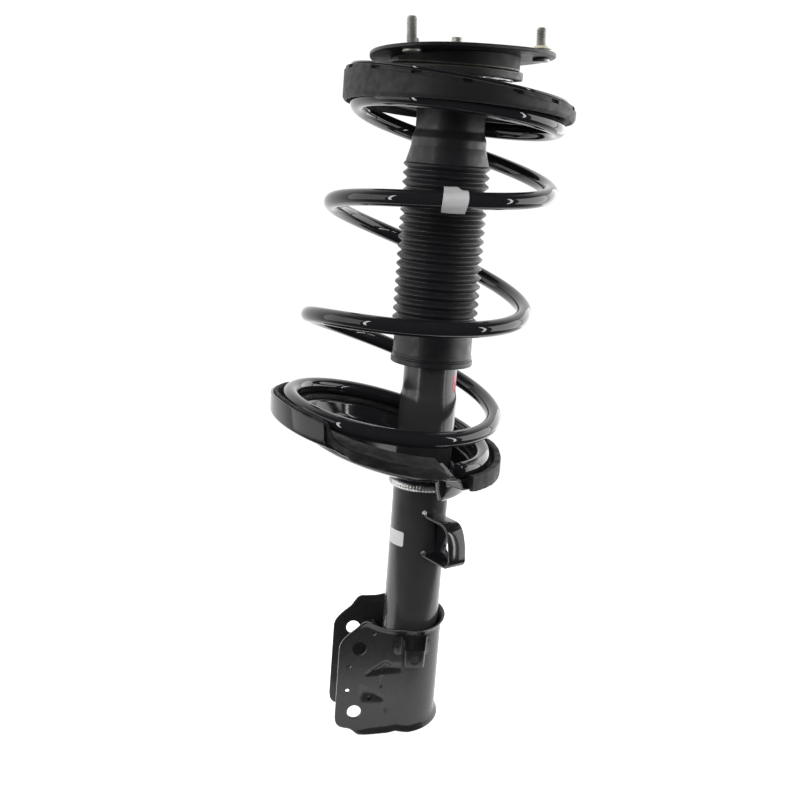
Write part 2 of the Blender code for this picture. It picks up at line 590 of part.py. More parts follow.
def make_knuckle(mats):
    mid_y = EAR_Y - SHEET / 2
    mid_r = BARREL_BORE + SHEET / 2
    straight = [(EAR_TIP_X, 0.0170, 0.0825, 0.0), (-0.0635, 0.0120, 0.0860, 0.0),
                (-0.0592, 0.0080, 0.0920, 0.0), (-0.0510, 0.0062, 0.0995, 0.0),
                (-0.0425, 0.0014, 0.1065, 0.0015), (-0.0345, 0.0022, 0.1040, 0.0030),
                (-0.0265, 0.0032, 0.1015, 0.0035), (-0.0180, 0.0042, 0.1005, 0.0038)]
    near = []
    far = []
    for x, low, high, flare in straight:
        near.append((x, -mid_y, low, high, flare))
        rise = FAR_EAR_RISE * smooth_value(((-0.050, 0.0), (-0.018, 1.0)), x)
        far.append((x, mid_y, low + rise, high + rise + 0.0010, flare))
    barrel = []
    steps = 18
    meet = math.degrees(math.asin(mid_y / mid_r))
    for k in range(steps + 1):
        degrees = -180.0 + meet + (360.0 - 2.0 * meet) * k / steps
        p = polar((0.0, 0.0), mid_r, degrees, 0.0)
        back = 0.5 + 0.5 * p.y / mid_y
        low = 0.0060 + FAR_EAR_RISE * back + 0.16 * max(p.x, 0.0)
        high = 0.1005 + FAR_EAR_RISE * back + 0.05 * max(p.x, 0.0)
        barrel.append((p.x, p.y, low, high, 0.0035))
    bracket = bent_sheet("knuckle_bracket", near + barrel + far[::-1], SHEET - 0.0004,
                         mats["satin"], 0.0050)
    for x, z in BOLT_HOLES:
        drill(bracket, (x, 0.0, z), (0.0, 1.0, 0.0), BOLT_HOLE_R, 0.08, 20)
    for x, z in SMALL_HOLES:
        drill(bracket, (x, -EAR_Y, z), (0.0, 1.0, 0.0), SMALL_HOLE_R, 0.012, 8)
    leg = mid_y - SHEET / 2 - 0.0010 - GAP + 0.0002
    web = [(-0.0390, -leg), (-0.0310, -leg), (-0.0285, -leg + 0.0025), (-0.0285, leg - 0.0025),
           (-0.0310, leg), (-0.0390, leg)]
    bent_sheet("knuckle_reinforcement", [(x, y, 0.0140, 0.0900, 0.0) for x, y in web], 0.0020,
               mats["satin"])


def make_hose_bracket(mats):
    half = 0.0085
    back_r = BARREL_BORE + SHEET + GAP + 0.0007
    wing_y = -EAR_Y - 0.0012
    columns = [(-0.0175, wing_y, 0.0770, 0.0940, 0.0), (-0.0140, wing_y, 0.0770, 0.0940, 0.0),
               (-0.0105, wing_y - 0.0005, 0.0770, 0.0940, 0.0)]
    face = HOSE_FACE_Y + 0.0008
    columns += [(HOSE_X - half, face + 0.0015, 0.0705, 0.0860, 0.0),
                (HOSE_X - half + 0.0015, face, 0.0705, 0.0855, 0.0)]
    mirrored = [(2 * HOSE_X - x, y, low, high, flare) for x, y, low, high, flare in columns[3:]]
    right = []
    for degrees in (-68.5, -64.5, -60.0):
        p = polar((0.0, 0.0), back_r, degrees, 0.0)
        right.append((p.x, p.y, 0.0770, 0.0940, 0.0))
    hat = bent_sheet("hose_bracket", columns + mirrored[::-1] + right, 0.0012, mats["satin"])
    drill(hat, (HOSE_X, HOSE_FACE_Y, HOSE_HOLE_Z), (0.0, 1.0, 0.0), HOSE_HOLE_R, 0.008, 12)


def prism(name, outline, origin, along, depth_dir, depth, mat):
    """A flat outline of (reach, height) points, extruded sideways by depth."""
    near = [Vector((origin.x + along.x * a, origin.y + along.y * a, z)) for a, z in outline]
    far = [p + depth_dir * depth for p in near]
    return swept_solid(name, [near, far], False, mat)


def make_link_bracket(mats):
    turn = math.radians(LINK_DEG)
    along = Vector((math.cos(turn), math.sin(turn), 0.0))
    inward = Vector((-along.y, along.x, 0.0))
    start = Vector((LINK_START[0], LINK_START[1], 0.0))
    bracket = prism("link_bracket", LINK_OUTLINE, start, along, inward, LINK_DEPTH, mats["satin"])
    centre = (0.010, 0.186)
    pocket = []
    for a, z in LINK_OUTLINE:
        step = Vector((centre[0] - a, centre[1] - z)).normalized() * 0.0034
        pocket.append((a + step.x - (0.02 if a < 0.0 else 0.0), z + step.y))
    room = prism("link_bracket_pocket", pocket, start - inward * 0.01, along, inward,
                 0.01 + LINK_DEPTH - 0.0028, mats["satin"])
    boolean(bracket, "DIFFERENCE", room)
    seat = turned_solid("link_bracket_seat", [
        (0.0, 0.15), (TUBE_R + GAP + 0.0003, 0.15), (TUBE_R + GAP + 0.0003, 0.22), (0.0, 0.22)],
        mats["satin"], 32)
    boolean(bracket, "DIFFERENCE", seat)
    hole = start + along * LINK_HOLE[0] + inward * LINK_DEPTH
    drill(bracket, (hole.x, hole.y, LINK_HOLE[1]), inward, LINK_HOLE_R, 0.012)


def main():
    clear_scene()
    mats = {
        "tube": material("tube_black", (0.030, 0.031, 0.033), 0.0, 0.28),
        "gloss": material("gloss_black_paint", (0.010, 0.010, 0.012), 0.0, 0.12),
        "satin": material("satin_black_paint", (0.035, 0.036, 0.038), 0.0, 0.35),
        "matt_black": material("matt_black_paint", (0.020, 0.020, 0.021), 0.0, 0.50),
        "black_steel": material("black_steel", (0.030, 0.030, 0.030), 0.6, 0.40),
        "boot": material("boot_plastic", (0.018, 0.018, 0.019), 0.0, 0.40),
        "rubber": material("insulator_rubber", (0.028, 0.029, 0.031), 0.0, 0.65),
        "pad": material("seat_pad_rubber", (0.050, 0.050, 0.050), 0.0, 0.75),
        "foam": material("bump_stop_foam", (0.560, 0.480, 0.260), 0.0, 0.80),
        "zinc": material("zinc_plating", (0.420, 0.420, 0.380), 0.9, 0.40),
        "retainer": material("retainer_yellow_zinc", (0.620, 0.580, 0.380), 0.6, 0.45),
        "steel": material("bare_steel", (0.480, 0.480, 0.490), 1.0, 0.30),
        "chrome": material("chrome_rod", (0.700, 0.700, 0.710), 1.0, 0.08),
        "alloy": material("sintered_guide", (0.360, 0.350, 0.330), 0.9, 0.50),
        "band": material("piston_band_ptfe", (0.180, 0.130, 0.080), 0.0, 0.50),
    }
    make_damper(mats)
    make_spring(mats)
    make_lower_seat(mats)
    make_upper_seat(mats)
    make_boot(mats)
    make_bearing(mats)
    make_mount(mats)
    make_studs(mats)
    make_knuckle(mats)
    make_hose_bracket(mats)
    make_link_bracket(mats)
    for obj in bpy.data.objects:
        obj.location.z -= TUBE_END


main()
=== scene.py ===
"""Looks of the suspension strut: surfaces, finishes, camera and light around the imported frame.

Metres, +Z up. Heights in this file count from the knuckle bracket's lower edge, as in the part's
own source, and add_piece lowers each finished mesh by DROP into the frame.
"""

import math

import bmesh
import bpy
from mathutils import Matrix, Vector, noise


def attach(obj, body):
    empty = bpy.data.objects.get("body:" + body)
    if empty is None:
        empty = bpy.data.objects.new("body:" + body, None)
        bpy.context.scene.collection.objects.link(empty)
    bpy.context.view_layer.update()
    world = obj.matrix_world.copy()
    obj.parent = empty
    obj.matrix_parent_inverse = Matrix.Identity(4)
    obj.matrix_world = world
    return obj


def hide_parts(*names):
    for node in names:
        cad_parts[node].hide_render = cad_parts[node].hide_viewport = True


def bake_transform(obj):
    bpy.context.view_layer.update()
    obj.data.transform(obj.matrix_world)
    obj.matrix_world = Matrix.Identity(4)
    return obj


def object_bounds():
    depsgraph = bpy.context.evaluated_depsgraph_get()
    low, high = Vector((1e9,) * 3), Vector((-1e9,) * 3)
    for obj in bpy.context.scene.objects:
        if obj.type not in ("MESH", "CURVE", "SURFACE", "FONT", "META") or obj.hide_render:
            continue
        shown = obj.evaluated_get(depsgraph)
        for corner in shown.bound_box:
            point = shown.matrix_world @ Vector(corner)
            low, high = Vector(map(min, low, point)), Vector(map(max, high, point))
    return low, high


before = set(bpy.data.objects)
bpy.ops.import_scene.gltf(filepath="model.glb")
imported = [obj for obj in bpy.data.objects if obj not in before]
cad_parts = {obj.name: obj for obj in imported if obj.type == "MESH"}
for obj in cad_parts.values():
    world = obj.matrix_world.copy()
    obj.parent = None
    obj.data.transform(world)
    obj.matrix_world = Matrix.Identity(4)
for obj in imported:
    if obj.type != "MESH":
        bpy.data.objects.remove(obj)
cad_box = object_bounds()

DROP = 0.0120                    # from the bracket's lower edge up to the tube's bottom end
GAP = 0.0003
AXIS = (0.0, 0.0)                # the damper's axis, seen from above

# Damper
TUBE_R = 0.0240
NECK_R = 0.0225
NECK_Z = 0.3080
TUBE_TOP = 0.3485
ROD_R = 0.0110
THREAD_R = 0.0069
ROD_TOP = 0.5960
SHOULDER_Z = 0.5559

# Coil spring: (turn, value) pairs read through smooth_value
WIRE_R = 0.0067
COIL_START = 0.855
COIL_END = 5.28
COIL_RISE = ((0.855, 0.2660), (1.5, 0.2825), (1.75, 0.2885), (2.0, 0.3035), (2.5, 0.3530),
             (2.75, 0.3720), (3.0, 0.3945), (3.5, 0.4495), (4.0, 0.4920), (4.55, 0.5342),
             (4.75, 0.5352), (5.3, 0.5352))
COIL_RADIUS = ((0.855, 0.0835), (1.55, 0.0835), (3.0, 0.0865), (3.9, 0.0855), (4.6, 0.0810),
               (5.3, 0.0810))
COIL_X = ((0.855, -0.0330), (1.55, -0.0330), (2.0, -0.0265), (3.6, -0.0045), (4.6, 0.0056),
          (5.3, 0.0056))
COIL_Y = ((0.855, 0.0060), (1.55, 0.0060), (3.6, 0.0005), (4.6, -0.0012), (5.3, -0.0012))
COIL_LEAN_X = ((0.855, -0.160), (1.55, -0.160), (4.0, -0.115), (4.55, -0.091), (5.3, -0.091))
COIL_LEAN_Y = ((0.855, 0.075), (1.55, 0.075), (2.5, 0.0), (4.0, 0.0), (4.55, -0.080),
               (5.3, -0.080))
SEATED_BELOW = 1.5               # the wire rests on the lower seat up to this turn
SEATED_ABOVE = 4.6               # and on the upper pad from this one

# Lower spring seat
SEAT_CENTRE = (-0.0330, 0.0060)
SEAT_R = 0.1000
SEAT_BARE_R = 0.0960
SEAT_SHEET = 0.0023
SEAT_HUB_Z = 0.2285
SEAT_PAD = 0.0040
SEAT_STEP_DEG = (300.0, 305.0)
PAD_DEG = (308.0, 653.0)
WALL_DEG = (27.0, 231.0)         # the seat's outer edge is turned up between these angles
WALL_RISE = ((0.0, 0.0100), (60.0, 0.0095), (120.0, 0.0105), (160.0, 0.0120), (180.0, 0.0138),
             (200.0, 0.0165), (215.0, 0.0168), (226.0, 0.0165), (231.0, 0.0155), (236.0, 0.0060),
             (245.0, 0.0042), (290.0, 0.0045), (305.0, 0.0085), (360.0, 0.0100))
EDGE_DROOP = ((233.0, 0.0), (241.0, 0.0034), (270.0, 0.0065), (300.0, 0.0085), (305.0, 0.0))

# Upper spring seat and its pad
TOP_CENTRE = (0.0056, -0.0012)
TOP_PAD_R = 0.0945
TOP_PAD_BORE = 0.0745
TOP_PAD_Z = 0.5580
TOP_PAD_SLOPE = (-0.113, -0.025)
LIP_Z = 0.5375
LIP_SLOPE = (-0.037, -0.070)
SEAT_PLATE_Z = 0.5612

# Top mount
PLATE_Z = 0.5810
PLATE_SLOPE = (0.057, -0.080)
PLATE_T = 0.0032
PLATE_R = 0.0745
PLATE_LOBE = 0.0055
STUD_RING_R = 0.0680
STUD_R = 0.0040
STUD_DEG = (-11.0, 109.0, 229.0)
STUD_LENGTH = 0.0210
SHELL_R = 0.0520

# Knuckle bracket
EAR_Y = 0.0255
SHEET = 0.0026
BARREL_BORE = TUBE_R + GAP
BOLT_HOLES = ((-0.0470, 0.0812), (-0.0480, 0.0224))
BOLT_HOLE_R = 0.0062
FAR_EAR_RISE = 0.0110
SMALL_HOLES = ((-0.0353, 0.0955), (-0.0551, 0.0648), (-0.0551, 0.0422), (-0.0355, 0.0351))
SMALL_HOLE_R = 0.0019
# (x, lower edge, upper edge, flare of the edges) from an ear's tip to the barrel
EAR_COLUMNS = ((-0.0645, 0.0170, 0.0825, 0.0), (-0.0635, 0.0120, 0.0860, 0.0),
               (-0.0592, 0.0080, 0.0920, 0.0), (-0.0510, 0.0062, 0.0995, 0.0),
               (-0.0425, 0.0014, 0.1065, 0.0015), (-0.0345, 0.0022, 0.1040, 0.0030),
               (-0.0265, 0.0032, 0.1015, 0.0035), (-0.0180, 0.0042, 0.1005, 0.0038))

# Small brackets
HOSE_X = -0.0008
HOSE_FACE_Y = -0.0395
HOSE_HOLE_Z = 0.0775
HOSE_HOLE_R = 0.0037
LINK_DEG = -62.0
LINK_START = (-0.0021, -0.0241)
LINK_DEPTH = 0.0165
LINK_OUTLINE = ((-0.020, 0.1685), (0.0370, 0.1665), (0.0425, 0.1710), (0.0405, 0.1880),
                (0.0360, 0.1990), (0.0300, 0.2035), (-0.020, 0.2045))
LINK_HOLE = (0.0225, 0.1785)
LINK_HOLE_R = 0.0057


# ---------------------------------------------------------------- shape helpers

def smooth_value(points, at):
    """Monotone cubic through (position, value) pairs."""
    xs = [p[0] for p in points]
    ys = [p[1] for p in points]
    if at <= xs[0]:
        return ys[0]
    if at >= xs[-1]:
        return ys[-1]
    slopes = [(ys[i + 1] - ys[i]) / (xs[i + 1] - xs[i]) for i in range(len(xs) - 1)]
    tangents = [slopes[0]]
    for before, after in zip(slopes, slopes[1:]):
        same_way = before * after > 0.0
        tangents.append(2.0 * before * after / (before + after) if same_way else 0.0)
    tangents.append(slopes[-1])
    i = max(k for k in range(len(xs) - 1) if xs[k] <= at)
    width = xs[i + 1] - xs[i]
    u = (at - xs[i]) / width
    return (ys[i] * (1 + 2 * u) * (1 - u) ** 2 + tangents[i] * width * u * (1 - u) ** 2
            + ys[i + 1] * u * u * (3 - 2 * u) + tangents[i + 1] * width * u * u * (u - 1))


def ease(value, low, high):
    """0 below low, 1 above high, smooth between."""
    t = min(max((value - low) / (high - low), 0.0), 1.0)
    return t * t * (3.0 - 2.0 * t)


def bump_at(value, centre, half_width):
    """1 at centre, falling smoothly to 0 at half_width on both sides."""
    return 1.0 - ease(abs(value - centre), 0.0, half_width)


def polar(centre, radius, degrees, z):
    turn = math.radians(degrees)
    return Vector((centre[0] + radius * math.cos(turn), centre[1] + radius * math.sin(turn), z))


def rounded(points, fillets, steps=4, closed=True):
    """Rounds each corner of a path of vectors by its own fillet length."""
    path = []
    count = len(points)
    for i, point in enumerate(points):
        reach = fillets[i] if isinstance(fillets, (list, tuple)) else fillets
        ends = not closed and i in (0, count - 1)
        if reach <= 0.0 or ends:
            path.append(point.copy())
            continue
        back = points[i - 1] - point
        ahead = points[(i + 1) % count] - point
        from_point = point + back.normalized() * min(reach, back.length * 0.45)
        to_point = point + ahead.normalized() * min(reach, ahead.length * 0.45)
        for s in range(steps + 1):
            t = s / steps
            path.append((1 - t) ** 2 * from_point + 2 * t * (1 - t) * point + t * t * to_point)
    return path


def add_piece(name, bm, mat, body, stands_for=(), smooth_deg=35.0):
    """Finishes a mesh, lowers it into the frame and makes it ride on a body."""
    bmesh.ops.recalc_face_normals(bm, faces=bm.faces[:])
    if bm.calc_volume(signed=True) < 0.0:
        bmesh.ops.reverse_faces(bm, faces=bm.faces[:])
    mesh = bpy.data.meshes.new(name)
    bm.transform(Matrix.Translation((0.0, 0.0, -DROP)))
    bm.to_mesh(mesh)
    bm.free()
    mesh.materials.append(mat)
    mesh.shade_smooth()
    mesh.set_sharp_from_angle(angle=math.radians(smooth_deg))
    obj = bpy.data.objects.new(name, mesh)
    bpy.context.scene.collection.objects.link(obj)
    if body:
        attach(obj, body)
    if stands_for:
        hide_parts(*stands_for)
    return obj


def swept_mesh(loops, closed):
    bm = bmesh.new()
    rings = [[bm.verts.new(p) for p in loop] for loop in loops]
    count = len(rings[0])
    pairs = list(zip(rings, rings[1:]))
    if closed:
        pairs.append((rings[-1], rings[0]))
    for a, b in pairs:
        for i in range(count):
            j = (i + 1) % count
            bm.faces.new((a[i], a[j], b[j], b[i]))
    if not closed:
        bm.faces.new(rings[0][::-1])
        bm.faces.new(rings[-1])
    return bm


def ring_mesh(profile, fillets, segments=128, centre=AXIS, steps=4):
    """A closed (radius, z) profile with rounded corners, turned round a vertical axis."""
    path = rounded([Vector((r, z)) for r, z in profile], fillets, steps)
    loops = []
    for k in range(segments):
        degrees = 360.0 * k / segments
        loops.append([polar(centre, p.x, degrees, p.y) for p in path])
    return swept_mesh(loops, True)


def solid_mesh(profile, fillets, segments=96, centre=AXIS, steps=4):
    """An outline from axis to axis, bottom first, turned round a vertical axis."""
    path = rounded([Vector((r, z)) for r, z in profile], fillets, steps, closed=False)
    bm = bmesh.new()
    low = bm.verts.new((centre[0], centre[1], path[0].y))
    high = bm.verts.new((centre[0], centre[1], path[-1].y))
    rings = []
    for p in path[1:-1]:
        angles = [360.0 * k / segments for k in range(segments)]
        rings.append([bm.verts.new(polar(centre, p.x, d, p.y)) for d in angles])
    for k in range(segments):
        n = (k + 1) % segments
        bm.faces.new((low, rings[0][n], rings[0][k]))
        bm.faces.new((high, rings[-1][k], rings[-1][n]))
        for a, b in zip(rings, rings[1:]):
            bm.faces.new((a[k], a[n], b[n], b[k]))
    return bm


def cutter(name, bm, mat):
    """A hidden solid for a Boolean, in the frame's heights."""
    return add_piece(name, bm, mat, None)


def cut(obj, tools, bevel=0.0, segments=3, limit_deg=40.0):
    """Cuts the tools out of obj, rounds the edges left, and bakes the result into its mesh."""
    for tool in tools:
        modifier = obj.modifiers.new("cut", "BOOLEAN")
        modifier.operation = "DIFFERENCE"
        modifier.solver = "EXACT"
        modifier.object = tool
    if bevel > 0.0:
        modifier = obj.modifiers.new("edges", "BEVEL")
        modifier.width = bevel
        modifier.segments = segments
        modifier.limit_method = "ANGLE"
        modifier.angle_limit = math.radians(limit_deg)
        modifier.use_clamp_overlap = True
    bpy.context.view_layer.update()
    graph = bpy.context.evaluated_depsgraph_get()
    mesh = bpy.data.meshes.new_from_object(obj.evaluated_get(graph))
    mesh.name = obj.name
    obj.modifiers.clear()
    obj.data = mesh
    mesh.shade_smooth()
    mesh.set_sharp_from_angle(angle=math.radians(50.0))
    for tool in tools:
        bpy.data.objects.remove(tool, do_unlink=True)
    return obj


def cylinder(radius, depth, sides):
    """A plain cylinder along Z about the origin, for cutting with."""
    bm = bmesh.new()
    bmesh.ops.create_cone(bm, cap_ends=True, segments=sides, radius1=radius, radius2=radius,
                          depth=depth)
    return bm


def section(centre, degrees, profile):
    """Places (radius, height) corners at one angle round a centre."""
    return [polar(centre, r, degrees, z) for r, z in profile]


def outward(path, i):
    """Unit vector to the right of a flat path at its i-th point."""
    ahead = path[min(i + 1, len(path) - 1)] - path[i]
    behind = path[i] - path[max(i - 1, 0)]
    along = (ahead.normalized() + behind.normalized()).normalized()
    return Vector((along.y, -along.x))


def refinish(obj, mat, wanted):
    """Gives a second material to the faces whose centre height, in the frame, is wanted."""
    obj.data.materials.append(mat)
    for face in obj.data.polygons:
        if wanted(face.center.z):
            face.material_index = 1


# ---------------------------------------------------------------- finishes

class Finish:
    """A Principled material built up from object-space noise."""

    def __init__(self, name):
        self.mat = bpy.data.materials.new(name)
        self.mat.use_nodes = True
        self.tree = self.mat.node_tree
        self.shader = self.tree.nodes["Principled BSDF"]
        self.place = self.tree.nodes.new("ShaderNodeTexCoord").outputs["Object"]

    def new(self, kind, values=()):
        """Adds a node and sets its (socket, value) pairs."""
        node = self.tree.nodes.new(kind)
        for socket, value in values:
            node.inputs[socket].default_value = value
        return node

    def link(self, a, b):
        self.tree.links.new(a, b)

    def noise(self, scale, detail=4.0, rough=0.55, stretch=None):
        node = self.new("ShaderNodeTexNoise",
                        (("Scale", scale), ("Detail", detail), ("Roughness", rough)))
        source = self.place
        if stretch:
            mapping = self.new("ShaderNodeMapping", (("Scale", stretch),))
            self.link(self.place, mapping.inputs["Vector"])
            source = mapping.outputs["Vector"]
        self.link(source, node.inputs["Vector"])
        return node.outputs["Fac"]

    def specks(self, scale, size):
        """1 in small scattered spots, 0 elsewhere."""
        node = self.new("ShaderNodeTexVoronoi", (("Scale", scale),))
        self.link(self.place, node.inputs["Vector"])
        return self.ramp(node.outputs["Distance"], (size, size * 0.4), (0.0, 1.0))

    def ramp(self, source, ends, values):
        node = self.new("ShaderNodeMapRange", (("From Min", ends[0]), ("From Max", ends[1]),
                                               ("To Min", values[0]), ("To Max", values[1])))
        node.interpolation_type = "SMOOTHSTEP"
        self.link(source, node.inputs["Value"])
        return node.outputs["Result"]

    def math(self, operation, a, b):
        node = self.new("ShaderNodeMath")
        node.operation = operation
        for socket, value in zip(node.inputs, (a, b)):
            if isinstance(value, (int, float)):
                socket.default_value = value
            else:
                self.link(value, socket)
        return node.outputs["Value"]

    def mix(self, factor, a, b):
        node = self.new("ShaderNodeMix")
        node.data_type = "RGBA"
        self.link(factor, node.inputs["Factor"])
        for socket, value in ((node.inputs[6], a), (node.inputs[7], b)):
            if isinstance(value, tuple):
                socket.default_value = (*value, 1.0)
            else:
                self.link(value, socket)
        return node.outputs[2]

    def colour(self, source):
        self.link(source, self.shader.inputs["Base Color"])

    def roughness(self, source):
        self.link(source, self.shader.inputs["Roughness"])

    def bump(self, layers):
        """Stacks (height source, depth in metres) layers into the normal."""
        normal = None
        for height, depth in layers:
            node = self.new("ShaderNodeBump", (("Strength", 1.0), ("Distance", depth)))
            self.link(height, node.inputs["Height"])
            if normal:
                self.link(normal, node.inputs["Normal"])
            normal = node.outputs["Normal"]
        self.link(normal, self.shader.inputs["Normal"])


def paint(name, colour, patch, gloss, rough_spread, peel, dust=0.25):
    """Paint with orange peel, faint patches of a second tone and settled dust."""
    f = Finish(name)
    patches = f.ramp(f.noise(38.0, 3.0), (0.42, 0.66), (0.0, 1.0))
    spots = f.specks(520.0, 0.11)
    settled = f.ramp(f.noise(52.0), (0.56, 0.74), (0.0, 1.0))
    dusty = f.math("MULTIPLY", spots, settled)
    grey = tuple(min(1.0, c * 1.8 + 0.02 * dust) for c in colour)
    f.colour(f.mix(dusty, f.mix(patches, colour, patch), grey))
    rough = f.ramp(f.noise(95.0, 5.0), (0.30, 0.72), (gloss, gloss + rough_spread))
    f.roughness(f.math("ADD", rough, f.math("MULTIPLY", dusty, 0.4 * dust)))
    f.bump([(f.noise(260.0, 1.0), peel), (f.noise(1500.0, 2.0), peel * 0.06)])
    f.shader.inputs["Specular IOR Level"].default_value = 0.5
    return f


def rubber(name, colour, scuff, rough, grain, scuff_cover):
    """Moulded rubber: fine grain, pale scuffs and a little bloom."""
    f = Finish(name)
    scuffs = f.ramp(f.noise(64.0, 6.0, 0.68, (1.0, 1.0, 2.6)), scuff_cover, (0.0, 1.0))
    bloom = f.ramp(f.noise(17.0, 2.0), (0.40, 0.70), (0.0, 0.55))
    base = f.mix(bloom, colour, tuple(c * 1.5 for c in colour))
    f.colour(f.mix(scuffs, base, scuff))
    f.roughness(f.ramp(f.noise(150.0, 5.0), (0.3, 0.7), (rough - 0.08, rough + 0.10)))
    f.bump([(f.noise(1500.0, 4.0, 0.6), grain), (f.noise(210.0, 5.0, 0.6), grain * 2.4)])
    return f


def plated(name, colour, dark, rough, metallic, turned=False):
    """Plated or bare metal with dull patches and, on turned parts, fine lathe lines."""
    f = Finish(name)
    stretch = (0.4, 0.4, 14.0) if turned else (1.0, 1.0, 1.0)
    fine = f.noise(480.0, 5.0, 0.6, stretch)
    patches = f.ramp(f.noise(85.0, 5.0), (0.38, 0.68), (0.0, 1.0))
    f.colour(f.mix(patches, colour, dark))
    f.roughness(f.ramp(fine, (0.28, 0.72), (rough - 0.08, rough + 0.14)))
    f.bump([(fine, 0.00002), (f.noise(1900.0, 3.0), 0.00001)])
    f.shader.inputs["Metallic"].default_value = metallic
    return f


def make_finishes():
    kinds = {
        "gloss": paint("gloss_black", (0.0125, 0.0128, 0.0152), (0.0138, 0.0141, 0.0165),
                       0.035, 0.035, 0.000006),
        "seat": paint("seat_black", (0.0110, 0.0112, 0.0134), (0.0124, 0.0126, 0.0146),
                      0.08, 0.06, 0.000010, 0.15),
        "tube": paint("tube_black", (0.0330, 0.0334, 0.0346), (0.0360, 0.0362, 0.0370),
                      0.18, 0.07, 0.000010, 0.15),
        "satin": paint("bracket_black", (0.0140, 0.0144, 0.0156), (0.0150, 0.0152, 0.0160),
                       0.26, 0.03, 0.000010, 0.06),
        "matt": paint("mount_matt_black", (0.0075, 0.0075, 0.0080), (0.0095, 0.0095, 0.0100),
                      0.38, 0.12, 0.000014, 0.15),
        "cup": paint("mount_deep_black", (0.0024, 0.0024, 0.0027), (0.0034, 0.0034, 0.0037),
                     0.60, 0.12, 0.000012, 0.05),
        "phosphate": paint("phosphated_steel", (0.0100, 0.0100, 0.0104), (0.0150, 0.0146, 0.0136),
                           0.36, 0.14, 0.000012, 0.15),
        "boot": rubber("boot_plastic", (0.0105, 0.0107, 0.0124), (0.0120, 0.0122, 0.0138), 0.42,
                       0.000004, (0.68, 0.82)),
        "insulator": rubber("insulator_rubber", (0.0078, 0.0079, 0.0088), (0.0150, 0.0152, 0.0164),
                            0.60, 0.000006, (0.58, 0.76)),
        "pad": rubber("seat_pad_rubber", (0.0058, 0.0058, 0.0066), (0.0240, 0.0242, 0.0252), 0.70,
                      0.000030, (0.46, 0.64)),
        "foam": rubber("bump_stop_foam", (0.420, 0.350, 0.180), (0.520, 0.450, 0.260), 0.80,
                       0.000060, (0.50, 0.70)),
        "seal": rubber("seal_rubber", (0.0140, 0.0140, 0.0145), (0.0280, 0.0280, 0.0290), 0.50,
                       0.000008, (0.60, 0.78)),
        "zinc": plated("zinc_plating", (0.520, 0.522, 0.490), (0.380, 0.378, 0.340), 0.40, 0.80),
        "olive": plated("dull_zinc", (0.105, 0.107, 0.093), (0.066, 0.067, 0.057), 0.42, 0.70),
        "retainer": plated("yellow_zinc", (0.800, 0.780, 0.640), (0.680, 0.650, 0.480), 0.36, 0.25),
        "steel": plated("bare_steel", (0.520, 0.520, 0.525), (0.400, 0.398, 0.390), 0.30, 1.0,
                        True),
        "weld": plated("weld_steel", (0.640, 0.640, 0.630), (0.260, 0.256, 0.245), 0.32, 0.85),
        "chrome": plated("hard_chrome", (0.640, 0.642, 0.650), (0.560, 0.562, 0.570), 0.14, 1.0,
                         True),
        "sinter": plated("sintered_iron", (0.300, 0.295, 0.280), (0.200, 0.196, 0.185), 0.52, 0.8),
        "band": rubber("ptfe_band", (0.150, 0.105, 0.060), (0.200, 0.150, 0.090), 0.50, 0.000008,
                       (0.50, 0.72)),
        "paper": rubber("blank_label", (0.560, 0.560, 0.565), (0.500, 0.500, 0.502), 0.52,
                        0.000006, (0.60, 0.80)),
        "red": rubber("red_label", (0.420, 0.012, 0.045), (0.560, 0.060, 0.100), 0.38, 0.000004,
                      (0.60, 0.80)),
    }
    return {key: finish.mat for key, finish in kinds.items()}


MATS = make_finishes()


# ---------------------------------------------------------------- damper

def make_tube():
    bore = TUBE_R - 0.0016
    neck_bore = NECK_R - 0.0018
    end = DROP
    bm = ring_mesh([
        (bore, end), (TUBE_R, end), (TUBE_R, NECK_Z - 0.006), (NECK_R, NECK_Z),
        (NECK_R, TUBE_TOP), (0.0165, TUBE_TOP), (0.0165, TUBE_TOP - 0.0017),
        (neck_bore, TUBE_TOP - 0.0017), (neck_bore, NECK_Z), (bore, NECK_Z - 0.006)],
        [0.0004, 0.0007, 0.0030, 0.0030, 0.0018, 0.0004, 0.0, 0.0, 0.0, 0.0])
    add_piece("tube_shell", bm, MATS["tube"], "strut_body", ["strut_tube"])
    bm = solid_mesh([
        (0.0, end), (0.0190, end), (bore - GAP, end + 0.0030), (bore - GAP, end + 0.0055),
        (0.0, end + 0.0055)], [0.0, 0.0010, 0.0008, 0.0004, 0.0])
    add_piece("tube_end_plug", bm, MATS["phosphate"], "strut_body", ["tube_base_cap"])
    bm = ring_mesh([
        (0.0118, TUBE_TOP + GAP), (NECK_R + GAP, TUBE_TOP + GAP), (NECK_R + GAP, 0.3360),
        (0.0240, 0.3360), (0.0240, 0.3505), (0.0118, 0.3505)],
        [0.0003, 0.0, 0.0002, 0.0004, 0.0016, 0.0004])
    add_piece("tube_cap", bm, MATS["phosphate"], "strut_body", ["tube_top_cap"])


def curved_label(name, degrees, heights, radius, mat, body, rows=10, thickness=0.00008):
    """A thin sticker wrapped on the tube."""
    loops = []
    low, high = heights
    fillet = 0.0010
    for k in range(rows + 1):
        d = degrees[0] + (degrees[1] - degrees[0]) * k / rows
        pull = fillet * (k in (0, rows))
        inner = radius + 0.00004
        outer = inner + thickness
        loops.append(section(AXIS, d, [(inner, low + pull), (outer, low + pull),
                                       (outer, high - pull), (inner, high - pull)]))
    return add_piece(name, swept_mesh(loops, False), mat, body, ())


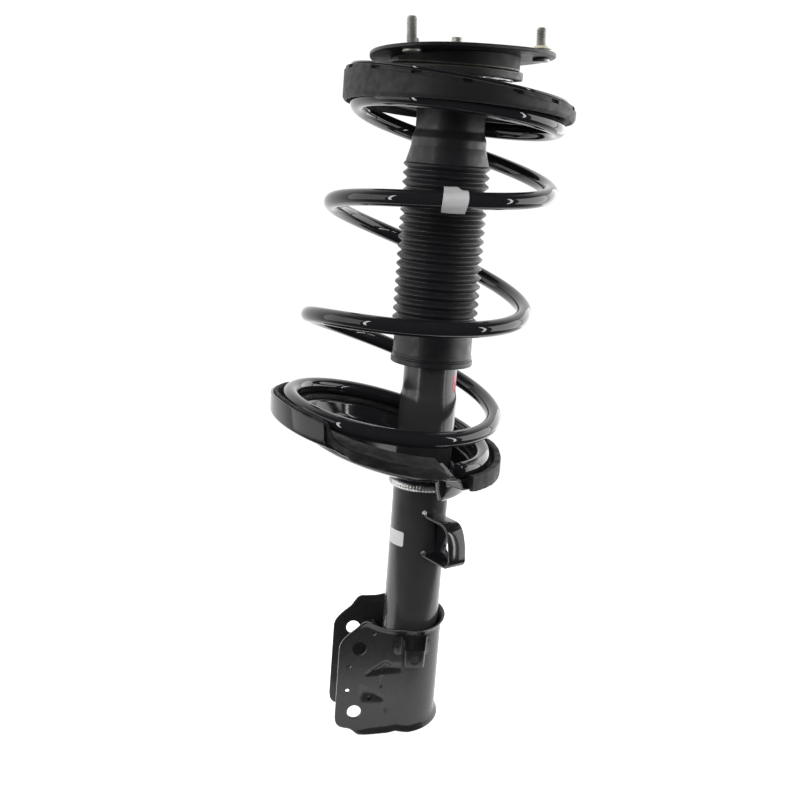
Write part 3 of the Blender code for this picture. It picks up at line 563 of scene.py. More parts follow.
def weld_bead(name, radius, z, size, mat, ripple=96, span=(0.0, 360.0), lean=0.0):
    """A rippled fillet of weld round the tube."""
    closed = abs(span[1] - span[0]) >= 360.0
    steps = ripple * 4
    loops = []
    for k in range(steps if closed else steps + 1):
        share = k / steps
        d = span[0] + (span[1] - span[0]) * share
        wave = 1.0 + 0.10 * math.cos(2.0 * math.pi * ripple * share)
        wander = noise.noise(Vector((math.cos(math.radians(d)) * 3.0,
                                     math.sin(math.radians(d)) * 3.0, radius * 90.0)))
        r = size * wave * (1.0 + 0.14 * wander)
        mid = z + lean * math.sin(math.radians(d)) + 0.0006 * wander
        loop = []
        for s in range(10):
            a = 2.0 * math.pi * s / 10
            loop.append(polar(AXIS, radius + 0.75 * r * math.cos(a), d,
                              mid + r * math.sin(a)))
        loops.append(loop)
    return add_piece(name, swept_mesh(loops, closed), mat, "strut_body", (), 60.0)


def threads(low, high, crest_r, root_r, pitch):
    """(radius, z) corners of a thread's flanks as rings, from low to high."""
    turns = int((high - low) / pitch)
    points = []
    for k in range(turns):
        z = low + (high - low) * k / turns
        step = (high - low) / turns
        points.append((root_r, z + step * 0.08))
        points.append((crest_r, z + step * 0.46))
        points.append((crest_r, z + step * 0.60))
    points.append((root_r, high))
    return points


def make_rod():
    profile = [(0.0, 0.2440), (0.0060, 0.2440), (0.0060, 0.2765), (ROD_R, 0.2765),
               (ROD_R, SHOULDER_Z), (THREAD_R, SHOULDER_Z)]
    profile += threads(0.5780, 0.5880, THREAD_R, THREAD_R - 0.0007, 0.00125)
    profile += [(0.0048, 0.5885), (0.0046, 0.5900), (0.0046, ROD_TOP), (0.0, ROD_TOP)]
    fillets = [0.0003] * len(profile)
    fillets[-2] = 0.0007
    bm = solid_mesh(profile, fillets, 64, steps=2)
    rod = add_piece("damper_rod", bm, MATS["chrome"], "top_mount", ["piston_rod"])
    hexagon = cylinder(0.0027, 0.010, 6)
    hexagon.transform(Matrix.Translation((0.0, 0.0, ROD_TOP)))
    cut(rod, [cutter("rod_socket", hexagon, MATS["chrome"])])
    refinish(rod, MATS["zinc"], lambda z: z > SHOULDER_Z - DROP + 0.0002)


def hex_nut(name, bore, corner_r, low, high, mat, body, node):
    """A hexagon nut with turned chamfers."""
    chamfer = 0.0010
    bm = ring_mesh([(bore, low), (corner_r - 0.0014, low), (corner_r, low + chamfer),
                    (corner_r, high - chamfer), (corner_r - 0.0014, high), (bore, high)],
                   [0.0004, 0.0002, 0.0002, 0.0002, 0.0002, 0.0004], 96, steps=2)
    nut = add_piece(name, bm, mat, body, [node])
    flat_r = corner_r * math.cos(math.pi / 6.0)
    tools = []
    for k in range(6):
        slab = bmesh.new()
        bmesh.ops.create_cube(slab, size=1.0)
        slab.transform(Matrix.Diagonal((0.010, 0.040, 0.040, 1.0)))
        slab.transform(Matrix.Translation((flat_r + 0.005, 0.0, (low + high) / 2.0)))
        slab.transform(Matrix.Rotation(math.radians(60.0 * k + 30.0), 4, "Z"))
        tools.append(cutter(name + "_flat_%d" % k, slab, mat))
    cut(nut, tools, 0.00012, 2, 25.0)


# ---------------------------------------------------------------- spring

def coil_point(turn):
    radius = smooth_value(COIL_RADIUS, turn)
    dx = radius * math.cos(2.0 * math.pi * turn)
    dy = radius * math.sin(2.0 * math.pi * turn)
    z = smooth_value(COIL_RISE, turn)
    z += smooth_value(COIL_LEAN_X, turn) * dx + smooth_value(COIL_LEAN_Y, turn) * dy
    return Vector((smooth_value(COIL_X, turn) + dx, smooth_value(COIL_Y, turn) + dy, z))


def coil_share(turn):
    """Where a place on the wire sits by height between the two seated ends: 0 on the lower seat, 1
    on the upper.
    """
    low = smooth_value(COIL_RISE, SEATED_BELOW)
    high = smooth_value(COIL_RISE, SEATED_ABOVE)
    return min(max((smooth_value(COIL_RISE, turn) - low) / (high - low), 0.0), 1.0)


def coil_frame(turn):
    here = coil_point(turn)
    along = (coil_point(turn + 0.002) - coil_point(turn - 0.002)).normalized()
    if turn < COIL_START + 0.001:
        along = (coil_point(turn + 0.004) - here).normalized()
    side = along.cross(Vector((0.0, 0.0, 1.0))).normalized()
    return here, along, side, side.cross(along)


def make_spring(per_turn=96, sides=28):
    count = round((COIL_END - COIL_START) * per_turn)
    loops = []
    shares = []
    end_cut = 0.0007
    for k in range(count + 1):
        turn = COIL_START + (COIL_END - COIL_START) * k / count
        here, along, side, over = coil_frame(turn)
        rings = [(WIRE_R, 0.0)]
        if k == 0:
            rings = [(WIRE_R - end_cut, 0.0), (WIRE_R, end_cut)]
        if k == count:
            rings = [(WIRE_R, -end_cut), (WIRE_R - end_cut, 0.0)]
        for radius, shift in rings:
            ring = []
            for s in range(sides):
                a = 2.0 * math.pi * s / sides
                offset = radius * (math.cos(a) * side + math.sin(a) * over)
                ring.append(here + along * shift + offset)
            loops.append(ring)
            shares += [coil_share(turn)] * sides
    obj = add_piece("spring_wire", swept_mesh(loops, False), MATS["gloss"], None,
                    ["coil_spring"], 50.0)
    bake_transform(obj)


def make_wire_tag():
    """A blank strip of tape folded round the front of one coil, its ends standing off."""
    loops = []
    shares = []
    start, end = 3.7225, 3.7560
    steps = 18
    for k in range(steps + 1):
        across = k / steps
        turn = start + (end - start) * across
        here, along, side, over = coil_frame(turn)
        outer = []
        inner = []
        share = coil_share(turn)
        curl = math.sin(math.pi * across)
        flap = 1.0 - 0.75 * ease(across, 0.55, 0.80)
        for a_deg in range(-112, 125, 6):
            a = math.radians(a_deg)
            lift = 0.00025 + 0.00035 * curl
            lift += (0.0040 * flap) * ease(a_deg, 62.0, 124.0) ** 1.5
            lift += (0.0030 + 0.0008 * across) * ease(-a_deg, 50.0, 112.0) ** 1.5
            lift += 0.00025 * noise.noise(Vector((across * 3.0, a_deg * 0.03, 2.0)))
            for ring, extra in ((outer, 0.00014), (inner, 0.0)):
                r = WIRE_R + max(lift, 0.00012) + extra
                skew = 0.0007 * math.sin(a)
                ring.append(here + r * (math.cos(a) * side + math.sin(a) * over) + along * skew)
        loops.append(outer + inner[::-1])
        shares += [share] * (len(outer) + len(inner))
    obj = add_piece("wire_tag", swept_mesh(loops, False), MATS["paper"], None, (), 50.0)
    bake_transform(obj)


# ---------------------------------------------------------------- lower seat

def seat_height(degrees):
    """Height of the lower seat's channel under the wire, at an angle round the seat."""
    wrapped = degrees % 360.0
    start, end = SEAT_STEP_DEG
    turn = wrapped / 360.0 + (1.0 if wrapped < start else 0.0)
    rise = smooth_value(COIL_RISE, min(turn, 1.5))
    if start <= wrapped < end:
        share = ease(wrapped, start, end)
        rise = COIL_RISE[1][1] * (1.0 - share) + COIL_RISE[0][1] * share
    radius = COIL_RADIUS[0][1]
    lean = COIL_LEAN_X[0][1] * math.cos(math.radians(wrapped))
    lean += COIL_LEAN_Y[0][1] * math.sin(math.radians(wrapped))
    return rise + radius * lean - WIRE_R - SEAT_PAD - 0.0007


def wall_share(degrees):
    """1 where the seat's outer edge is turned up, 0 where it is bare."""
    wrapped = degrees % 360.0
    start, end = WALL_DEG
    return ease(wrapped, start - 3.0, start) * (1.0 - ease(wrapped, end, end + 1.5))


def seat_angles(step):
    angles = {round(step * k, 3) for k in range(int(360.0 / step))}
    extra = {WALL_DEG[1] + 0.5 * k for k in range(6)}
    extra |= {WALL_DEG[0] - 3.0 + 0.5 * k for k in range(7)}
    extra |= {SEAT_STEP_DEG[0] + 0.5 * k for k in range(11)}
    return sorted(angles | extra)


def edge_droop(degrees):
    """How far the bare front edge hangs below the channel."""
    fade = 1.0 - ease(degrees, SEAT_STEP_DEG[0], SEAT_STEP_DEG[1])
    if EDGE_DROOP[0][0] < degrees < EDGE_DROOP[-1][0]:
        return smooth_value(EDGE_DROOP, degrees) * fade
    return 0.0


def make_lower_seat():
    loops = []
    for degrees in seat_angles(1.5):
        s = seat_height(degrees)
        share = wall_share(degrees)
        wide = ease(degrees, WALL_DEG[0] - 9.0, WALL_DEG[0] - 4.0)
        wide *= 1.0 - ease(degrees, WALL_DEG[1] + 2.0, WALL_DEG[1] + 6.0)
        edge_r = SEAT_BARE_R + (SEAT_R - SEAT_BARE_R) * wide
        uneven = 0.00025 * noise.noise(Vector((degrees * 0.07, 5.3, 0.0)))
        rise = 0.0001 + (smooth_value(WALL_RISE, degrees) + uneven) * share
        edge = s - edge_droop(degrees)
        hub = [(BARREL_BORE, SEAT_HUB_Z), (BARREL_BORE, 0.2380)]
        dish = [(0.0660, s - 0.0170), (0.0705, s - 0.0140), (0.0735, s - 0.0015), (0.0750, s),
                (edge_r - SEAT_SHEET, edge), (edge_r - SEAT_SHEET, edge + rise),
                (edge_r, edge + rise), (edge_r, edge - 0.0010),
                (edge_r - 0.0014, edge - SEAT_SHEET),
                (0.0768, s - SEAT_SHEET), (0.0756, s - 0.0036), (0.0728, s - 0.0160),
                (0.0662, s - 0.0195)]
        under = [(BARREL_BORE + SEAT_SHEET, 0.2345), (BARREL_BORE + SEAT_SHEET, SEAT_HUB_Z)]
        loop = section(AXIS, degrees, hub)
        loop += section(SEAT_CENTRE, degrees, dish)
        loop += section(AXIS, degrees, under)
        fillets = [0.0004, 0.0024, 0.0060, 0.0035, 0.0010, 0.0010, 0.0012, 0.0008, 0.0008, 0.0010,
                   0.0010, 0.0010, 0.0010, 0.0030, 0.0050, 0.0016, 0.0005]
        loops.append(rounded(loop, fillets, 3))
    add_piece("lower_seat_pressing", swept_mesh(loops, True), MATS["seat"], "strut_body",
              ["lower_spring_seat"], 40.0)


def make_lower_pad():
    """The rubber pad under the wire: wrapped over the bare edge, then inside the upright wall."""
    loops = []
    steps = 345
    wall_start = 360.0 + WALL_DEG[0] - 12.0
    wall_end = 360.0 + WALL_DEG[1] + 9.5
    for k in range(steps + 1):
        degrees = PAD_DEG[0] + (PAD_DEG[1] - PAD_DEG[0]) * k / steps
        low = seat_height(degrees) + GAP
        top = low + SEAT_PAD
        wraps = 1.0 - ease(degrees, wall_start - 6.0, wall_start)
        wraps += ease(degrees, wall_end, wall_end + 7.0)
        edge = low - 0.80 * edge_droop(degrees % 360.0)
        curl = ease(degrees, PAD_DEG[1] - 7.0, PAD_DEG[1]) ** 2
        ragged = 0.0008 * noise.noise(Vector((degrees * 0.16, 3.1, 0.0)))
        ragged += 0.0004 * noise.noise(Vector((degrees * 0.7, 7.7, 0.0)))
        lip = edge + smooth_value(WALL_RISE, degrees % 360.0) + 0.0013 + ragged - 0.0030 * curl
        outer_r = SEAT_R - (SEAT_SHEET + 0.0004) * (1.0 - wraps) - 0.0002
        foot = edge + 0.0001 - (0.0031 - ragged - 0.0020 * curl) * wraps
        profile = [(0.0755, low), (0.0937, edge), (SEAT_BARE_R + 0.0006, edge),
                   (SEAT_BARE_R + 0.0007, foot),
                   (outer_r, foot), (outer_r, lip), (0.0942 + ragged * 0.4, lip),
                   (0.0925, edge + SEAT_PAD + 0.0010), (0.0755, top)]
        fillets = [0.0004, 0.0002, 0.0001, 0.0001, 0.0008, 0.0013, 0.0012, 0.0016, 0.0010]
        loops.append(rounded(section(SEAT_CENTRE, degrees, profile), fillets, 3))
    add_piece("lower_seat_rubber", swept_mesh(loops, False), MATS["pad"], "strut_body",
              ["lower_seat_pad"], 50.0)


# ---------------------------------------------------------------- upper seat

def leaning_height(base, slopes, degrees, radius):
    across = radius * math.cos(math.radians(degrees))
    along = radius * math.sin(math.radians(degrees))
    return base + slopes[0] * across + slopes[1] * along


def top_pad_height(degrees, radius):
    return leaning_height(TOP_PAD_Z, TOP_PAD_SLOPE, degrees, radius)


def groove_height(degrees, radius):
    base = COIL_RISE[-1][1] + WIRE_R + 0.0006
    return leaning_height(base, (COIL_LEAN_X[-1][1], COIL_LEAN_Y[-1][1]), degrees, radius)


def make_upper_seat(segments=360):
    slot_every, slot_half = 24.0, 3.0
    pad_loops = []
    seat_loops = []
    for k in range(segments):
        degrees = 360.0 * k / segments
        around = (degrees + 14.0) % slot_every - slot_every / 2.0
        slot = 1.0 - ease(abs(around), slot_half - 0.7, slot_half)
        lip = min(leaning_height(LIP_Z, LIP_SLOPE, degrees, TOP_PAD_R),
                  groove_height(degrees, 0.0910) - 0.0008)
        top_out = top_pad_height(degrees, TOP_PAD_R) - 0.0020
        profile = [(TOP_PAD_BORE, top_pad_height(degrees, TOP_PAD_BORE)),
                   (0.0906, top_pad_height(degrees, 0.0906)),
                   (0.0928, top_pad_height(degrees, 0.0928) - 0.0009),
                   (0.0934 - 0.0030 * slot, top_out - 0.0005),
                   (0.0934 - 0.0030 * slot, top_out - 0.0017),
                   (TOP_PAD_R, top_out - 0.0021),
                   (TOP_PAD_R, lip + 0.0026), (0.0928, lip), (0.0912, lip),
                   (0.0902, groove_height(degrees, 0.0902)),
                   (TOP_PAD_BORE, groove_height(degrees, TOP_PAD_BORE))]
        fillets = [0.0008, 0.0006, 0.0006, 0.0002, 0.0002, 0.0008, 0.0006, 0.0006, 0.0004, 0.0006,
                   0.0008]
        pad_loops.append(rounded(section(TOP_CENTRE, degrees, profile), fillets, 2))
        flange_in = top_pad_height(degrees, 0.0738) + GAP
        flange_out = top_pad_height(degrees, 0.0895) + GAP
        inner = [(0.0257, 0.5330), (0.0237, 0.5330), (0.0237, SEAT_PLATE_Z), (0.0540, SEAT_PLATE_Z)]
        outer = [(0.0730, flange_in + 0.0020), (0.0895, flange_out + 0.0020),
                 (0.0895, flange_out), (0.0740, flange_in)]
        under = [(0.0548, SEAT_PLATE_Z - 0.0020), (0.0257, SEAT_PLATE_Z - 0.0020)]
        loop = section(AXIS, degrees, inner)
        loop += section(TOP_CENTRE, degrees, outer)
        loop += section(AXIS, degrees, under)
        fillets = [0.0004, 0.0004, 0.0018, 0.0030, 0.0030, 0.0007, 0.0007, 0.0030, 0.0030, 0.0016]
        seat_loops.append(rounded(loop, fillets, 3))
    add_piece("insulator_ring", swept_mesh(pad_loops, True), MATS["insulator"], "spring_top",
              ["upper_seat_pad"], 40.0)
    add_piece("upper_seat_pressing", swept_mesh(seat_loops, True), MATS["gloss"], "spring_top",
              ["upper_spring_seat"], 40.0)


def make_boot(ridges=18, segments=128):
    """The bellows and its two plain ends."""
    low, high = 0.3640, 0.4980
    pitch = (high - low) / ridges
    outer = [(0.0335, 0.3310, 0.0003), (0.0345, 0.3310, 0.0008), (0.0345, 0.3352, 0.0008),
             (0.0332, 0.3356, 0.0003), (0.0332, 0.3368, 0.0002), (0.0336, 0.3372, 0.0003),
             (0.0336, 0.3384, 0.0005), (0.0330, 0.3396, 0.0008), (0.0330, 0.3575, 0.0010),
             (0.0322, 0.3600, 0.0012)]
    for k in range(ridges):
        outer.append((0.0318, low + pitch * (k + 0.0), 0.0011))
        outer.append((0.0364, low + pitch * (k + 0.5), 0.0018))
    outer += [(0.0320, high, 0.0011), (0.0326, 0.4998, 0.0006), (0.0306, 0.5010, 0.0006),
              (0.0306, 0.5160, 0.0012), (0.0280, 0.5225, 0.0012), (0.0280, 0.5475, 0.0004)]
    inner = [(0.0266, 0.5475, 0.0004), (0.0266, 0.5216, 0.0010), (0.0292, 0.5150, 0.0010)]
    for k in reversed(range(ridges)):
        inner.append((0.0347, low + pitch * (k + 0.5), 0.0016))
        inner.append((0.0303, low + pitch * (k + 0.0), 0.0010))
    inner += [(0.0312, 0.3590, 0.0012), (0.0315, 0.3310, 0.0003)]
    whole = outer + inner
    bm = ring_mesh([p[:2] for p in whole], [p[2] for p in whole], segments, steps=4)
    obj = add_piece("boot_bellows", bm, MATS["boot"], None, ["dust_boot"], 60.0)
    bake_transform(obj)


# ---------------------------------------------------------------- top mount

def plate_height(x, y):
    return PLATE_Z + PLATE_SLOPE[0] * x + PLATE_SLOPE[1] * y


def make_bearing():
    bm = ring_mesh([(0.0400, SEAT_PLATE_Z + GAP), (0.0500, SEAT_PLATE_Z + GAP), (0.0500, 0.5632),
                    (0.0400, 0.5632)], 0.0003)
    add_piece("lower_race", bm, MATS["steel"], "spring_top", ["bearing_lower_race"])
    bm = ring_mesh([(0.0400, 0.5670), (0.0525, 0.5670), (0.0525, 0.5655), (0.0550, 0.5655),
                    (0.0550, 0.5718), (0.0400, 0.5718)],
                   [0.0003, 0.0003, 0.0003, 0.0008, 0.0010, 0.0003])
    race = add_piece("upper_race", bm, MATS["olive"], "top_mount", ["bearing_upper_race"])
    refinish(race, MATS["seal"], lambda z: z < 0.5700 - DROP)


def make_mount(segments=240):
    shell_loops = []
    rubber_loops = []
    plate_loops = []
    for k in range(segments):
        degrees = 360.0 * k / segments

        def under_plate(r):
            p = polar(AXIS, r, degrees, 0.0)
            return plate_height(p.x, p.y) - PLATE_T / 2 - GAP

        shell = [(0.0135, 0.5721), (SHELL_R, 0.5721), (SHELL_R, under_plate(SHELL_R)),
                 (SHELL_R - 0.0015, under_plate(0.0505)), (SHELL_R - 0.0015, 0.5736),
                 (0.0135, 0.5736)]
        shell_loops.append(rounded(section(AXIS, degrees, shell),
                                   [0.0004, 0.0018, 0.0002, 0.0002, 0.0010, 0.0004], 4))
        block = [(0.0190, 0.5739), (0.0400, 0.5739), (0.0400, under_plate(0.0400)),
                 (0.0300, under_plate(0.0300) - 0.0010), (0.0190, under_plate(0.0190))]
        rubber_loops.append(rounded(section(AXIS, degrees, block),
                                    [0.0005, 0.0010, 0.0010, 0.0060, 0.0008], 4))
        lobe = PLATE_R + PLATE_LOBE * math.cos(3.0 * math.radians(degrees - STUD_DEG[0]))
        rim = polar(AXIS, lobe, degrees, 0.0)
        rim_in = polar(AXIS, lobe - 0.0030, degrees, 0.0)
        bore = polar(AXIS, 0.0215, degrees, 0.0)
        loop = []
        for p, up in ((bore, -1), (rim_in, -1), (rim, -1), (rim, 1), (rim_in, 1), (bore, 1)):
            loop.append(Vector((p.x, p.y, plate_height(p.x, p.y) + up * PLATE_T / 2)))
        plate_loops.append(rounded(loop, [0.0005, 0.0, 0.0011, 0.0011, 0.0, 0.0005], 3))
    cup = add_piece("mount_cup", swept_mesh(shell_loops, True), MATS["cup"], "top_mount",
                    ["mount_shell"])
    refinish(cup, MATS["olive"], lambda z: z < 0.5757 - DROP)
    add_piece("mount_rubber_block", swept_mesh(rubber_loops, True), MATS["seal"], "top_mount",
              ["mount_rubber"])
    plate = add_piece("mount_flange", swept_mesh(plate_loops, True), MATS["matt"], "top_mount",
                      ["mount_plate"])
    tools = []
    for number, degrees in enumerate(STUD_DEG):
        at = polar(AXIS, STUD_RING_R, degrees, PLATE_Z)
        hole = cylinder(STUD_R + 0.0004, 0.03, 48)
        hole.transform(Matrix.Translation(at))
        tools.append(cutter("stud_hole_%d" % number, hole, MATS["matt"]))
    cut(plate, tools)
    bm = ring_mesh([(THREAD_R + GAP, 0.5581), (0.0115, 0.5581), (0.0115, 0.5739),
                    (0.0187, 0.5739), (0.0187, 0.5765), (THREAD_R + GAP, 0.5765)],
                   [0.0003, 0.0006, 0.0008, 0.0005, 0.0006, 0.0003])
    add_piece("mount_sleeve", bm, MATS["steel"], "top_mount", ["mount_core"])
    bm = ring_mesh([(THREAD_R + GAP, 0.5768), (0.0160, 0.5768), (0.0160, 0.5785),
                    (THREAD_R + GAP, 0.5785)], [0.0002, 0.0005, 0.0006, 0.0002])
    add_piece("rod_washer_disc", bm, MATS["zinc"], "top_mount", ["rod_washer"])
    hex_nut("rod_top_nut", THREAD_R + GAP, 0.0121, 0.5788, 0.5868, MATS["zinc"], "top_mount",
            "rod_nut")
    bm = ring_mesh([(THREAD_R + GAP, SHOULDER_Z + GAP), (0.0210, SHOULDER_Z + GAP),
                    (0.0210, 0.5400), (0.0225, 0.5400), (0.0225, 0.5578),
                    (THREAD_R + GAP, 0.5578)],
                   [0.0002, 0.0008, 0.0004, 0.0004, 0.0014, 0.0003])
    add_piece("bump_cup", bm, MATS["phosphate"], "top_mount", ["bump_stop_cup"])
    bm = ring_mesh([
        (ROD_R + GAP, 0.4910), (0.0150, 0.4910), (0.0185, 0.4990), (0.0185, 0.5060),
        (0.0160, 0.5100), (0.0195, 0.5150), (0.0195, 0.5240), (0.0165, 0.5280),
        (0.0203, 0.5330), (0.0203, SHOULDER_Z), (ROD_R + GAP, SHOULDER_Z)],
        [0.0006, 0.0024, 0.0030, 0.0022, 0.0020, 0.0026, 0.0026, 0.0020, 0.0024, 0.0006, 0.0004])
    add_piece("bump_rubber", bm, MATS["foam"], "top_mount", ["bump_stop"], 60.0)


def square_to_plate(bm, at):
    """Tilts a mesh made upright on the plate so that it stands square to the plate."""
    base = Matrix.Translation((at.x, at.y, plate_height(at.x, at.y)))
    normal = Vector((-PLATE_SLOPE[0], -PLATE_SLOPE[1], 1.0))
    tilt = Vector((0.0, 0.0, 1.0)).rotation_difference(normal).to_matrix().to_4x4()
    bm.transform(base @ tilt @ base.inverted())


def make_studs():
    for number, degrees in enumerate(STUD_DEG, start=1):
        at = polar(AXIS, STUD_RING_R, degrees, 0.0)
        top = plate_height(at.x, at.y) + PLATE_T / 2
        head = top - PLATE_T - GAP
        tip = top + STUD_LENGTH
        profile = [(0.0, head - 0.0022), (0.0066, head - 0.0022), (0.0070, head - 0.0014),
                   (0.0070, head), (STUD_R, head), (STUD_R, top + 0.0018)]
        profile += threads(top + 0.0020, tip - 0.0014, STUD_R, STUD_R - 0.00055, 0.00125)
        profile += [(STUD_R - 0.0006, tip - 0.0010), (STUD_R - 0.0010, tip), (0.0, tip)]
        fillets = [0.00014] * len(profile)
        fillets[-2] = 0.0004
        bm = solid_mesh(profile, fillets, 48, at, steps=1)
        square_to_plate(bm, at)
        add_piece("stud_%d" % number, bm, MATS["zinc"], "top_mount", ["mount_stud_%d" % number],
                  60.0)
        if number == 1:
            bm = ring_mesh([
                (STUD_R + GAP, top + 0.0040), (0.0085, top + 0.0040), (0.0085, top + 0.0050),
                (0.0062, top + 0.0052), (0.0060, top + 0.0066), (STUD_R + GAP, top + 0.0066)],
                [0.0002, 0.0004, 0.0004, 0.0006, 0.0005, 0.0002], 64, at)
            square_to_plate(bm, at)
            add_piece("push_on_retainer", bm, MATS["retainer"], "top_mount", ["stud_retainer"])


# ---------------------------------------------------------------- knuckle bracket

def segment_share(x, z, start, end, half_width):
    """1 on the line from start to end in (x, z), falling to 0 at half_width beside it."""
    line = Vector(end) - Vector(start)
    at = Vector((x, z)) - Vector(start)
    t = min(max(at.dot(line) / line.length_squared, 0.0), 1.0)
    return 1.0 - ease((at - line * t).length, 0.0, half_width)


def half_plane(x, z, start, end, soft):
    """0 on the left of the line from start to end in (x, z), rising to 1 at soft on its right."""
    line = (Vector(end) - Vector(start)).normalized()
    at = Vector((x, z)) - Vector(start)
    return ease(at.x * line.y - at.y * line.x, 0.0, soft)


def ear_pressing(x, z):
    """How far the stamped shape stands out (+) or in (-) of the ear's flat, at (x, z)."""
    upper = half_plane(x, z, (-0.0430, 0.0570), (-0.0235, 0.0712), 0.0034)
    upper *= half_plane(x, z, (-0.0235, 0.0712), (-0.0125, 0.0648), 0.0034)
    upper *= half_plane(x, z, (-0.0125, 0.0600), (-0.0430, 0.0560), 0.0030)
    lower = half_plane(x, z, (-0.0452, 0.0488), (-0.0305, 0.0428), 0.0030)
    lower *= half_plane(x, z, (-0.0305, 0.0428), (-0.0120, 0.0310), 0.0030)
    lower *= 1.0 - ease(0.0488 - z, 0.0080, 0.0190)
    lower *= ease(x, -0.0462, -0.0400)
    crease = segment_share(x, z, (-0.0260, 0.0470), (-0.0260, 0.0560), 0.0018)
    facet = bump_at(x, -0.0205, 0.0050) * bump_at(z, 0.0275, 0.0085)
    return -0.0024 * upper - 0.0020 * lower - 0.0006 * crease - 0.0010 * facet


def make_knuckle():
    """One sheet bent round the tube, with two flat ears, flared edges and pressed ribs."""
    mid_y = EAR_Y - 0.0015
    mid_r = BARREL_BORE + 0.0015
    edges = [tuple((c[0], c[i]) for c in EAR_COLUMNS) for i in (1, 2, 3)]
    tip = EAR_COLUMNS[0][0]
    root = EAR_COLUMNS[-1][0]
    steps = 64
    spine = []
    for k in range(steps + 1):
        x = tip + (root - tip) * (k / steps)
        low, high, flare = [smooth_value(points, x) for points in edges]
        spine.append((Vector((x, -mid_y)), low, high, flare, 1.0))
    barrel_steps = 120
    meet = math.degrees(math.asin(mid_y / mid_r))
    for k in range(barrel_steps + 1):
        degrees = -180.0 + meet + (360.0 - 2.0 * meet) * k / barrel_steps
        p = polar(AXIS, mid_r, degrees, 0.0)
        back = 0.5 + 0.5 * p.y / mid_y
        low = 0.0060 + FAR_EAR_RISE * back + 0.16 * max(p.x, 0.0)
        high = 0.1005 + FAR_EAR_RISE * back + 0.05 * max(p.x, 0.0)
        spine.append((Vector((p.x, p.y)), low, high, 0.0035, 0.0))
    for k in reversed(range(steps + 1)):
        x = tip + (root - tip) * (k / steps)
        low, high, flare = [smooth_value(points, x) for points in edges]
        rise = FAR_EAR_RISE * smooth_value(((-0.050, 0.0), (-0.018, 1.0)), x)
        spine.append((Vector((x, mid_y)), low + rise, high + rise + 0.0010, flare, 1.0))
    rows = 72
    lip = 0.0050
    loops = []
    path = [column[0] for column in spine]
    for i, (at, low, high, flare, on_ear) in enumerate(spine):
        out = outward(path, i)
        outer = []
        inner = []
        for r in range(rows + 1):
            z = low + (high - low) * r / rows
            from_edge = min(z - low, high - z)
            push = flare * (1.0 - ease(from_edge, 0.0, lip)) ** 1.3
            near_side = at.y < 0.0
            if near_side or on_ear:
                push += ear_pressing(at.x, z) * (1.0 if near_side else 0.6)
            soft = 0.0004 * (1.0 - ease(from_edge, 0.0, 0.0005))
            p = at + out * (SHEET / 2 + push - soft)
            q = at + out * (-SHEET / 2 + push + soft)
            outer.append(Vector((p.x, p.y, z)))
            inner.append(Vector((q.x, q.y, z)))
        loops.append(outer + inner[::-1])
    obj = add_piece("knuckle_sheet", swept_mesh(loops, False), MATS["satin"], "strut_body",
                    ["knuckle_bracket"], 60.0)
    tools = []
    drills = [(x, 0.0, z, BOLT_HOLE_R, 64, 0.08) for x, z in BOLT_HOLES]
    drills += [(x, -EAR_Y, z, SMALL_HOLE_R, 24, 0.012) for x, z in SMALL_HOLES]
    for number, (x, y, z, radius, sides, deep) in enumerate(drills):
        hole = cylinder(radius, deep, sides)
        hole.transform(Matrix.Translation((x, y, z)) @ Matrix.Rotation(math.pi / 2, 4, "X"))
        tools.append(cutter("bracket_hole_%d" % number, hole, MATS["satin"]))
    cut(obj, tools)


def make_reinforcement():
    leg = 0.0214
    corners = [Vector((-0.0390, -leg)), Vector((-0.0285, -leg)), Vector((-0.0285, leg)),
               Vector((-0.0390, leg))]
    path = rounded(corners, [0.0, 0.0028, 0.0028, 0.0], 8, closed=False)
    loops = []
    half = 0.0010
    for i, at in enumerate(path):
        out = outward(path, i)
        p = at + out * half
        q = at - out * half
        loop = [Vector((p.x, p.y, 0.0140)), Vector((p.x, p.y, 0.0900)),
                Vector((q.x, q.y, 0.0900)), Vector((q.x, q.y, 0.0140))]
        loops.append(rounded(loop, 0.0005, 3))
    add_piece("inner_channel", swept_mesh(loops, False), MATS["satin"], "strut_body",
              ["knuckle_reinforcement"])


